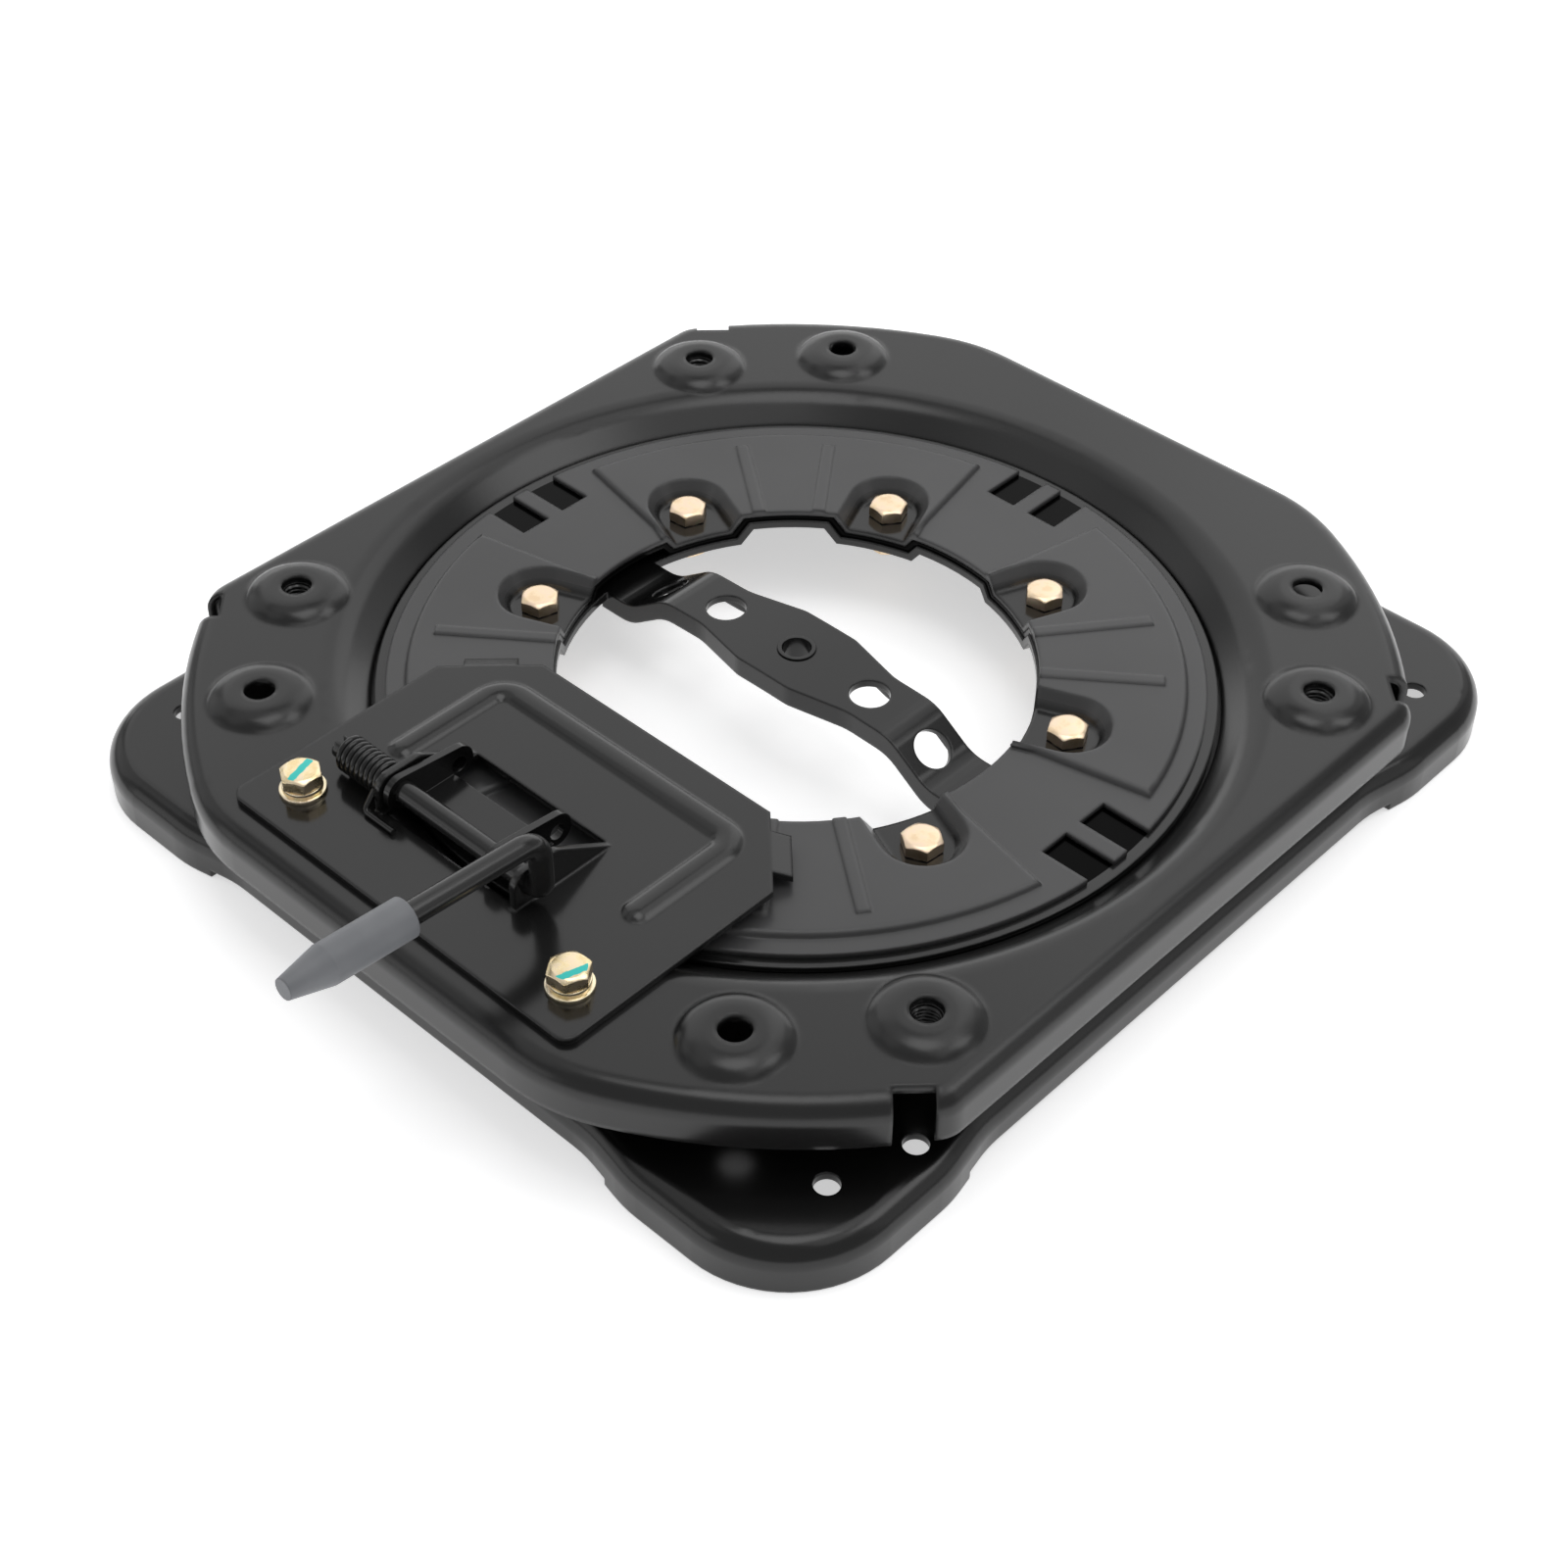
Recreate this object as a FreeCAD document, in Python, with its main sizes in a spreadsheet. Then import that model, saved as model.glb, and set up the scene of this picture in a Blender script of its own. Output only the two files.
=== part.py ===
import FreeCAD, Part
import math
import os
import Sketcher
from FreeCAD import Placement, Rotation, Vector

doc = FreeCAD.newDocument("SwivelSeatBase")
sheet = doc.addObject("Spreadsheet::Sheet", "Sizes")


# Sizes that know their value and the cell they come from

class Size:
    """A length or angle with its present value and the words the sheet knows it by."""

    def __init__(self, value, text):
        self.value = float(value)
        self.text = text

    @staticmethod
    def of(other):
        return other if isinstance(other, Size) else Size(other, repr(float(other)))

    def __add__(self, other):
        other = Size.of(other)
        return Size(self.value + other.value, "(%s + %s)" % (self.text, other.text))

    def __sub__(self, other):
        other = Size.of(other)
        return Size(self.value - other.value, "(%s - %s)" % (self.text, other.text))

    def __mul__(self, other):
        other = Size.of(other)
        return Size(self.value * other.value, "(%s * %s)" % (self.text, other.text))

    def __truediv__(self, other):
        other = Size.of(other)
        return Size(self.value / other.value, "(%s / %s)" % (self.text, other.text))

    def __neg__(self):
        return Size(-self.value, "(-%s)" % self.text)

    def __radd__(self, other):
        return Size.of(other) + self

    def __rsub__(self, other):
        return Size.of(other) - self

    def __rmul__(self, other):
        return Size.of(other) * self

    def __float__(self):
        return self.value


# How far a cutting block runs past the faces it cuts
PAST = 1.0

row_count = 0


def size(alias, value, note):
    """Writes one driving dimension into the sheet and returns it."""
    global row_count
    row_count += 1
    sheet.set("A%d" % row_count, note)
    sheet.set("B%d" % row_count, str(value))
    sheet.setAlias("B%d" % row_count, alias)
    return Size(value, "Sizes.%s" % alias)


def num(length):
    """The present value of a size, for shapes drawn with plain numbers."""
    return Size.of(length).value


# Sheet metal and heights, measured up from the lower edge of the base skirt
plate_gauge = size("plate_gauge", 3.0, "sheet of the base plate and the turntable")
ring_gauge = size("ring_gauge", 2.0, "sheet of the two clamped ring discs")
boss_top = size("boss_top", 50.0, "seat faces of the eight bosses")
boss_rise = size("boss_rise", 4.0, "bosses above the turntable top")
form_gap = size("form_gap", 0.3, "room between nested pressed walls")
slip_gap = size("slip_gap", 0.1, "room on each side of a gliding face")
glide_gauge = size("glide_gauge", 1.5, "thickness of the two glide rings")
glide_room = size("glide_room", 1.0, "glide rings inside the walls round them")

# Turntable plan and well
table_half_x = size("table_half_x", 177.5, "centre to the straight side flanges")
table_extra_y = size("table_extra_y", 21.5, "front and back flanges beyond the side ones")
corner_extra = size("corner_extra", 37.5, "arcs of the four corners beyond the side flanges")
table_skirt = size("table_skirt", 17.0, "depth of the turntable flanges")
table_roll = size("table_roll", 7.0, "outer bend of the turntable flanges")
table_blend = size("table_blend", 70.0, "blend between arc and front flange")
table_bevel = size("table_bevel", 12.0, "blend between arc and side flange")
shoulder_inset = size("shoulder_inset", 15.5, "well shoulder inside the side flanges")
shoulder_round = size("shoulder_round", 12.0, "soft bend of the well shoulder")
well_run = size("well_run", 11.7, "plan width of the well's cone")
well_depth = size("well_depth", 9.5, "well edge below the turntable top")
flange_width = size("flange_width", 29.3, "width of the hidden running flange")
notch_width = size("notch_width", 13.0, "corner relief notch")
notch_depth = size("notch_depth", 9.2, "notch inside the corner arcs, at 45 degrees")
notch_shift = size("notch_shift", 27.6, "notch beside the 45 degree line")

# Seat fixings
thread_inset_x = size("thread_inset_x", 27.5, "threaded bosses inside the side flanges")
thread_inset_y = size("thread_inset_y", 96.0, "threaded bosses inside the front and back")
plain_inset_x = size("plain_inset_x", 64.0, "plain bosses inside the side flanges")
plain_inset_y = size("plain_inset_y", 50.5, "plain bosses inside the front and back")
boss_foot = size("boss_foot", 37.5, "diameter of a boss at its foot")
boss_flat = size("boss_flat", 22.0, "diameter of a boss's flat top")
boss_hole = size("boss_hole", 11.0, "hole through each boss")
seat_nut_flats = size("seat_nut_flats", 17.0, "weld nut under a threaded boss, across flats")
seat_nut_height = size("seat_nut_height", 8.5, "weld nut under a threaded boss")
seat_nut_bore = size("seat_nut_bore", 9.4, "mean bore of its thread")

# Clamped ring discs
ring_drop = size("ring_drop", 6.5, "flat of the upper disc below the turntable top")
well_room = size("well_room", 1.5, "edge of the lower disc inside the well")
ring_step = size("ring_step", 3.8, "edge of the upper disc inside that of the lower")
ring_width = size("ring_width", 59.0, "upper disc from bore to edge")
sector_rise = size("sector_rise", 2.0, "raised sectors above the flat")
sector_inset = size("sector_inset", 7.0, "raised sectors inside the disc's edge")
sector_margin = size("sector_margin", 12.0, "degrees from a station to the next sector")
rib_angle = size("rib_angle", 7.5, "degrees from a sector's middle to each rib")
rib_width = size("rib_width", 5.0, "radial ribs across a sector")
rib_height = size("rib_height", 0.9, "ribs above the sector")
rib_inset = size("rib_inset", 8.0, "end of a rib inside the edge of its sector")
slot_length = size("slot_length", 20.0, "latch slots, in from the disc's edge")
slot_side = size("slot_side", 16.3, "station line to the outer side of a slot")
tab_half = size("tab_half", 3.5, "half width of the tab between two slots")
bolt_inset = size("bolt_inset", 14.0, "ring bolts outside the disc's bore")
pocket_radius = size("pocket_radius", 10.8, "floor of the pressed seat round a ring bolt")
pocket_lean = size("pocket_lean", 36.0, "degrees that a seat's wall leans outward")
seat_drop = size("seat_drop", 4.5, "pressed seats below the disc flat")

# Base plate
base_inset_x = size("base_inset_x", 3.0, "base sides inside the turntable's")
base_inset_front = size("base_inset_front", 11.5, "base front inside the turntable's")
base_inset_back = size("base_inset_back", 2.0, "base back inside the turntable's")
lobe_bulge = size("lobe_bulge", 4.5, "corner lobes beyond the sides")
lobe_reach = size("lobe_reach", 66.0, "length of a corner lobe along each side")
lobe_run = size("lobe_run", 22.0, "length of the blend from side to lobe")
lobe_round = size("lobe_round", 42.0, "plan radius of a lobe corner")
lobe_blend = size("lobe_blend", 50.0, "plan radius at each end of that blend")
base_roll = size("base_roll", 8.0, "outer bend of the base skirt")
base_rim = size("base_rim", 17.5, "top of the base rim")
side_lift = size("side_lift", 3.0, "skirt between the lobes above the foot")
hub_room = size("hub_room", 4.7, "head of the raised hub outside the well edge")
hub_run = size("hub_run", 9.0, "plan width of the hub's wall")
hub_wall = size("hub_wall", 2.0, "hub's wall pressed thinner, in plan")
land_step = size("land_step", 1.0, "slant of the land's edge, in plan")
land_room = size("land_room", 4.0, "edge of the bolted land inside the running flange")
bore_step = size("bore_step", 0.8, "bore of the base plate inside that of the discs")
foot_hole = size("foot_hole", 8.6, "fixing holes in the corner lobes")
inner_inset_x = size("inner_inset_x", 18.5, "corner holes nearer the corner, from the side")
inner_inset_y = size("inner_inset_y", 34.25, "the same, from the base's mean half length")
outer_inset_x = size("outer_inset_x", 9.5, "corner holes nearer the side, from the side")
outer_inset_y = size("outer_inset_y", 64.25, "the same, from the base's mean half length")

# Bridge across the middle of the base plate
bridge_rise = size("bridge_rise", 14.0, "top of the bridge above its feet")
bridge_bow = size("bridge_bow", 1.4, "fall from its middle to its upper bends")
bridge_landing = size("bridge_landing", 13.2, "lower bends inside the bore of the base plate")
bridge_ramp = size("bridge_ramp", 18.0, "plan length from a lower to an upper bend")
bridge_round = size("bridge_round", 16.0, "radius of both bends")
bridge_sweep = size("bridge_sweep", 600.0, "radius of the slight bow at the bush")
bridge_half = size("bridge_half", 12.5, "half width of the bridge")
bridge_eye = size("bridge_eye", 18.0, "half width round the bush")
bridge_eye_run = size("bridge_eye_run", 12.0, "centre to the end of the widest stretch")
bridge_neck_run = size("bridge_neck_run", 35.0, "centre to the start of the narrow stretch")
bridge_depth = size("bridge_depth", 8.0, "depth of the bridge's turned edges")
bridge_hole = size("bridge_hole", 14.6, "lightening holes in the bridge")
bridge_hole_in = size("bridge_hole_in", 34.7, "centre to the inner pair of holes")
bridge_hole_drop = size("bridge_hole_drop", 8.0, "outer pair of holes inside the lower bends")
bush_outer = size("bush_outer", 13.5, "centre bush, outside")
bush_bore = size("bush_bore", 10.7, "centre bush, bore")
bush_length = size("bush_length", 11.0, "centre bush, length")

# Fasteners
bolt_size = size("bolt_size", 8.0, "shank of ring and latch bolts")
head_flats = size("head_flats", 13.0, "bolt heads and nuts, across flats")
head_height = size("head_height", 5.3, "bolt heads")
nut_height = size("nut_height", 8.0, "ring nuts")
bolt_tail = size("bolt_tail", 2.0, "ring bolts past their nuts")
shank_room = size("shank_room", 0.5, "clearance round a bolt shank, on radius")

# Latch plate
latch_gauge = size("latch_gauge", 2.5, "sheet of the latch plate")
latch_half_x = size("latch_half_x", 80.5, "centre to the latch plate sides")
latch_margin = size("latch_margin", 12.0, "outer edge inside the front flange")
latch_length = size("latch_length", 116.0, "latch plate from outer to inner edge")
latch_chamfer = size("latch_chamfer", 26.0, "inner corner cuts")
latch_bolt_x = size("latch_bolt_x", 64.0, "latch bolts from the middle line")
latch_bolt_inset = size("latch_bolt_inset", 17.5, "latch bolts inside the outer edge")
window_left = size("window_left", 36.0, "middle line to the window's left side")
window_rear = size("window_rear", 34.0, "pivot to the window's inner edge")
window_fore = size("window_fore", 6.0, "pivot to the window's outer edge")
bead_half_x = size("bead_half_x", 56.0, "middle line to the legs of the bead")
bead_margin = size("bead_margin", 17.0, "cross run of the bead from the inner edge")
bead_tail = size("bead_tail", 19.0, "ends of the bead from the pivot")
bead_half = size("bead_half", 5.5, "half width of the bead")
bead_turn = size("bead_turn", 8.0, "plan radius of the bead's corners")
bead_height = size("bead_height", 1.8, "bead above the plate")
tab_width = size("tab_width", 19.0, "turned-down tabs at the inner corners")
tab_reach = size("tab_reach", 6.6, "tabs beyond the corner cuts")
tab_drop = size("tab_drop", 2.4, "edge of a tab below the plate top")
ear_crown = size("ear_crown", 6.5, "top of a pivot ear above the pivot")
ear_slope_end = size("ear_slope_end", 11.0, "end of a pivot ear's slope from the pivot")
ear_fore = size("ear_fore", 7.5, "outer side of a pivot ear from the pivot")
pivot_ear_inside = size("pivot_ear_inside", 26.0, "middle line to the right pivot ear")
ear_room = size("ear_room", 0.5, "window's left side to the left pivot ear")
washer_outer = size("washer_outer", 16.0, "flat washers")
washer_gauge = size("washer_gauge", 1.6, "flat washers")
spring_washer_outer = size("spring_washer_outer", 14.0, "spring washers")
spring_washer_gauge = size("spring_washer_gauge", 2.0, "spring washers")
latch_bolt_length = size("latch_bolt_length", 16.0, "latch bolts under the head")
weld_nut_height = size("weld_nut_height", 6.5, "weld nuts under the turntable")

# Lever, pawl and spring
rod_radius = size("rod_radius", 4.0, "latch rod")
pivot_run = size("pivot_run", 7.0, "latch pivot outside the upper disc")
pivot_height = size("pivot_height", 10.0, "latch pivot above the turntable top")
rod_tip_x = size("rod_tip_x", 64.5, "middle line to the slotted tip")
crank_x = size("crank_x", 33.5, "middle line to the crank")
crank_height = size("crank_height", 22.5, "crank above the pivot")
crank_round = size("crank_round", 4.5, "tight bend at the foot of the crank")
lever_round = size("lever_round", 9.0, "bend at the head of the crank")
lever_slope = size("lever_slope", 4.5, "lever rise in degrees")
lever_length = size("lever_length", 98.0, "crank to the end of the grip, seen from above")
grip_length = size("grip_length", 45.0, "soft grip")
grip_radius = size("grip_radius", 6.8, "soft grip, barrel")
grip_tip_radius = size("grip_tip_radius", 3.6, "soft grip, blunt end")
grip_cone = size("grip_cone", 15.0, "tapered end of the grip")
pawl_left = size("pawl_left", 35.5, "middle line to the outside of the left pawl ear")
pawl_right = size("pawl_right", 14.5, "middle line to the outside of the right pawl ear")
pawl_gauge = size("pawl_gauge", 2.6, "sheet of the pawl")
web_run = size("web_run", 6.0, "start of the pawl's web from the pivot")
ear_reach = size("ear_reach", 23.6, "pivot to the hole in a pawl ear")
ear_drop = size("ear_drop", 3.5, "that hole below the pivot")
ear_hole = size("ear_hole", 6.0, "hole in a pawl ear")
ear_nose = size("ear_nose", 6.2, "rounding of a pawl ear")
tooth_gap = size("tooth_gap", 0.8, "tooth clear of a slot's sides")
tooth_lift = size("tooth_lift", 0.15, "tooth above the raised sectors at rest")
tooth_inset = size("tooth_inset", 14.0, "inner face of a tooth from the disc's edge")
tooth_depth = size("tooth_depth", 5.0, "tooth from inner to outer face")
pivot_room = size("pivot_room", 0.08, "running clearance of the latch rod, on radius")
spring_wire = size("spring_wire", 2.2, "spring wire")
spring_mean = size("spring_mean", 5.5, "mean radius of the coils")
spring_pitch = size("spring_pitch", 2.28, "coil pitch")
spring_turns = size("spring_turns", 8.75, "turns")
spring_foot_run = size("spring_foot_run", 11.0, "spring's foot from the pivot")
spring_foot_x = size("spring_foot_x", 26.0, "middle line to the end of that foot")

doc.recompute()

# Places and levels worked out from the sizes
table_half_y = table_half_x + table_extra_y
table_radius = table_half_x + corner_extra
shoulder_radius = table_half_x - shoulder_inset
well_radius = shoulder_radius - well_run
flange_radius = well_radius - flange_width
notch_reach = table_radius - notch_depth
thread_x = table_half_x - thread_inset_x
thread_y = table_half_y - thread_inset_y
plain_x = table_half_x - plain_inset_x
plain_y = table_half_y - plain_inset_y
floor_radius = well_radius - well_room
ring_radius = floor_radius - ring_step
ring_bore = ring_radius - ring_width
sector_radius = ring_radius - sector_inset
slot_start = ring_radius - slot_length
bolt_circle = ring_bore + bolt_inset
base_half_x = table_half_x - base_inset_x
base_front = table_half_y - base_inset_front
base_back = table_half_y - base_inset_back
base_middle = (base_back - base_front) / 2
base_mean = (base_back + base_front) / 2
hub_head = well_radius + hub_room
hub_foot = hub_head + hub_run
land_radius = flange_radius - land_room
base_bore = ring_bore - bore_step
bridge_foot = base_bore - bridge_landing
bridge_bend = bridge_foot - bridge_ramp
bridge_hole_out = bridge_foot - bridge_hole_drop
pivot_y = ring_radius + pivot_run
latch_front = table_half_y - latch_margin
latch_back = latch_front - latch_length
latch_bolt_y = latch_front - latch_bolt_inset
window_back = pivot_y - window_rear
window_front = pivot_y + window_fore
bead_back = latch_back + bead_margin
bead_end = pivot_y - bead_tail
tooth_back = ring_radius - tooth_inset
spring_foot_y = pivot_y + spring_foot_run

table_top = boss_top - boss_rise
table_under = table_top - plate_gauge
skirt_end = table_top - table_skirt
well_edge = table_top - well_depth
ring_top = table_top - ring_drop
ring_under = ring_top - ring_gauge
floor_under = ring_under - ring_gauge
flange_top = floor_under - glide_gauge - 2 * slip_gap
flange_under = flange_top - plate_gauge
ledge_top = flange_under - glide_gauge - 2 * slip_gap
seat_floor = ring_top - seat_drop
land_top = seat_floor - 2 * ring_gauge
land_under = land_top - plate_gauge
bridge_crown = land_top + bridge_rise
bridge_end = bridge_crown - bridge_bow
latch_under = table_top
latch_top = latch_under + latch_gauge
pivot_z = table_top + pivot_height
pivot_ear_top = pivot_z + ear_crown


# Drawing helpers: every corner, radius and place is tied to the sheet

def bind(thing, field, length):
    thing.setExpression(field, Size.of(length).text)


def sine(angle):
    angle = Size.of(angle)
    return Size(math.sin(math.radians(angle.value)), "sin(%s)" % angle.text)


def cosine(angle):
    angle = Size.of(angle)
    return Size(math.cos(math.radians(angle.value)), "cos(%s)" % angle.text)


def origin_part(body, role):
    return [part for part in body.Origin.OriginFeatures if part.Role == role][0]


def new_body(name):
    body = doc.addObject("PartDesign::Body", name)
    body.Label = name
    body.AllowCompound = True
    return body


def settle(body, feature):
    """Makes the feature the body's last one and works it out."""
    body.Tip = feature
    doc.recompute()
    return feature


def flat_sketch(body, name, lift=0.0):
    """A sketch lying flat at a height."""
    drawn = body.newObject("Sketcher::SketchObject", name)
    drawn.AttachmentSupport = [(origin_part(body, "XY_Plane"), "")]
    drawn.MapMode = "FlatFace"
    bind(drawn, "AttachmentOffset.Base.z", lift)
    return drawn


def upright_sketch(body, name, x=0.0, y=0.0, turn=0.0):
    """A sketch standing upright at x and y, turned about its own upright axis."""
    drawn = body.newObject("Sketcher::SketchObject", name)
    drawn.AttachmentSupport = [(origin_part(body, "XZ_Plane"), "")]
    drawn.MapMode = "FlatFace"
    if turn:
        drawn.AttachmentOffset = Placement(Vector(), Rotation(Vector(0, 1, 0), turn))
        bind(drawn, "AttachmentOffset.Rotation.Angle", turn)
    bind(drawn, "AttachmentOffset.Base.x", x)
    bind(drawn, "AttachmentOffset.Base.z", -Size.of(y))
    return drawn


def side_sketch(body, name, x=0.0):
    """A sketch standing in the y and z directions at x."""
    drawn = body.newObject("Sketcher::SketchObject", name)
    drawn.AttachmentSupport = [(origin_part(body, "YZ_Plane"), "")]
    drawn.MapMode = "FlatFace"
    bind(drawn, "AttachmentOffset.Base.z", x)
    return drawn


def hold(drawn, geometry, point, x, y):
    """Holds one point of a sketch at a place."""
    for kind, axis, length in (("DistanceX", -2, x), ("DistanceY", -1, y)):
        length = Size.of(length)
        if length.text == "0.0":
            drawn.addConstraint(Sketcher.Constraint("PointOnObject", geometry, point, axis))
            continue
        rule = Sketcher.Constraint(kind, -1, 1, geometry, point, length.value)
        index = drawn.addConstraint(rule)
        bind(drawn, "Constraints[%d]" % index, length)


def trace(drawn, corners):
    """A closed outline of straight edges through the corners."""
    spots = [Vector(num(x), num(y), 0) for x, y in corners]
    first = drawn.GeometryCount
    count = len(spots)
    for i in range(count):
        drawn.addGeometry(Part.LineSegment(spots[i], spots[(i + 1) % count]), False)
    for i in range(count):
        after = first + (i + 1) % count
        drawn.addConstraint(Sketcher.Constraint("Coincident", first + i, 2, after, 1))
    for i, (x, y) in enumerate(corners):
        hold(drawn, first + i, 1, x, y)


def ring(drawn, x, y, radius):
    """A circle round a place."""
    middle = Vector(num(x), num(y), 0)
    index = drawn.addGeometry(Part.Circle(middle, Vector(0, 0, 1), num(radius)), False)
    hold(drawn, index, 3, x, y)
    rule = drawn.addConstraint(Sketcher.Constraint("Radius", index, num(radius)))
    bind(drawn, "Constraints[%d]" % rule, radius)


def pad(body, drawn, name, depth, side="One side"):
    made = body.newObject("PartDesign::Pad", name)
    made.Profile = drawn
    made.SideType = side
    bind(made, "Length", depth)
    return settle(body, made)


def pocket(body, drawn, name, depth, side="One side"):
    """Cuts down from the sketch, against its upward side."""
    made = body.newObject("PartDesign::Pocket", name)
    made.Profile = drawn
    made.SideType = side
    bind(made, "Length", depth)
    return settle(body, made)


def turned(body, drawn, name, kind="Revolution"):
    """A full turn of a sketch about its own upright axis."""
    made = body.newObject("PartDesign::" + kind, name)
    made.Profile = drawn
    made.ReferenceAxis = (drawn, ["V_Axis"])
    made.Angle = 360.0
    return settle(body, made)


def solid(body, kind, name, place=(0.0, 0.0, 0.0), turn=0.0, **lengths):
    """A simple solid added to or cut from a body."""
    made = body.newObject("PartDesign::" + kind, name)
    for field, length in lengths.items():
        bind(made, field, length)
    angle = Size.of(turn)
    made.Placement = Placement(Vector(0, 0, 0), Rotation(Vector(0, 0, 1), angle.value))
    if angle.value:
        bind(made, "Placement.Rotation.Angle", angle)
    for field, length in zip("xyz", place):
        bind(made, "Placement.Base." + field, length)
    return settle(body, made)


def around(body, features, name, count):
    """Repeats features evenly round the upright axis."""
    made = body.newObject("PartDesign::PolarPattern", name)
    made.Originals = features
    made.Axis = (origin_part(body, "Z_Axis"), [""])
    made.Angle = 360.0
    made.Occurrences = count
    return settle(body, made)


def mirrored(body, features, name, roles=("YZ_Plane", "XZ_Plane")):
    """Repeats features on the far side of one or two planes."""
    made = body.newObject("PartDesign::MultiTransform", name)
    made.Originals = features
    steps = []
    for role in roles:
        step = body.newObject("PartDesign::Mirrored", name + "_" + role[:2].lower())
        step.MirrorPlane = (origin_part(body, role), [""])
        steps.append(step)
    made.Transformations = steps
    return settle(body, made)


def edges_of(feature, wanted):
    """Names of the edges of a feature for which the test holds."""
    return ["Edge%d" % (i + 1) for i, edge in enumerate(feature.Shape.Edges) if wanted(edge)]


def rounded(body, feature, name, radius, wanted):
    made = body.newObject("PartDesign::Fillet", name)
    made.Base = (feature, edges_of(feature, wanted))
    bind(made, "Radius", radius)
    return settle(body, made)


def level(edge, height, slack=0.01):
    """Whether an edge lies flat at a height."""
    box = edge.BoundBox
    return abs(box.ZMin - num(height)) < slack and abs(box.ZMax - num(height)) < slack


def upright(edge):
    box = edge.BoundBox
    return box.ZLength > 0.5 and box.XLength < 0.01 and box.YLength < 0.01


def span(edge):
    """Largest distance of an edge's ends and middle from the upright axis."""
    spots = [v.Point for v in edge.Vertexes] + [edge.CenterOfMass]
    return max(math.hypot(p.x, p.y) for p in spots)


def bent_sheet(body, feature, name, gauge, height):
    """Hollows a block into a pressing that is open where it lies flat at a height."""
    made = body.newObject("PartDesign::Thickness", name)
    faces = ["Face%d" % (i + 1) for i, face in enumerate(feature.Shape.Faces)
             if face.BoundBox.ZLength < 0.01 and abs(face.BoundBox.ZMin - num(height)) < 0.01]
    made.Base = (feature, faces)
    bind(made, "Value", gauge)
    made.Reversed = True
    made.Join = 0
    return settle(body, made)


def soft_line(corners, radii):
    """Straight runs joined by tangent arcs, as edges in order."""
    edges = []
    start = corners[0]
    for i in range(1, len(corners) - 1):
        before = (corners[i - 1] - corners[i]).normalize()
        after = (corners[i + 1] - corners[i]).normalize()
        half = before.getAngle(after) / 2
        reach = radii[i - 1] / math.tan(half)
        entry = corners[i] + before * reach
        leave = corners[i] + after * reach
        inward = (before + after).normalize()
        middle = corners[i] + inward * (radii[i - 1] / math.sin(half) - radii[i - 1])
        edges.append(Part.LineSegment(start, entry).toShape())
        edges.append(Part.Arc(entry, middle, leave).toShape())
        start = leave
    edges.append(Part.LineSegment(start, corners[-1]).toShape())
    return edges


def plain_part(name, shape):
    """A piece whose form is worked out here from the sheet's sizes."""
    made = doc.addObject("Part::Feature", name)
    made.Label = name
    made.Shape = shape
    made.Placement = Placement()
    return made


pieces = []


# Turntable plate: pressed top with flanges, conical well and hidden running flange

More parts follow.
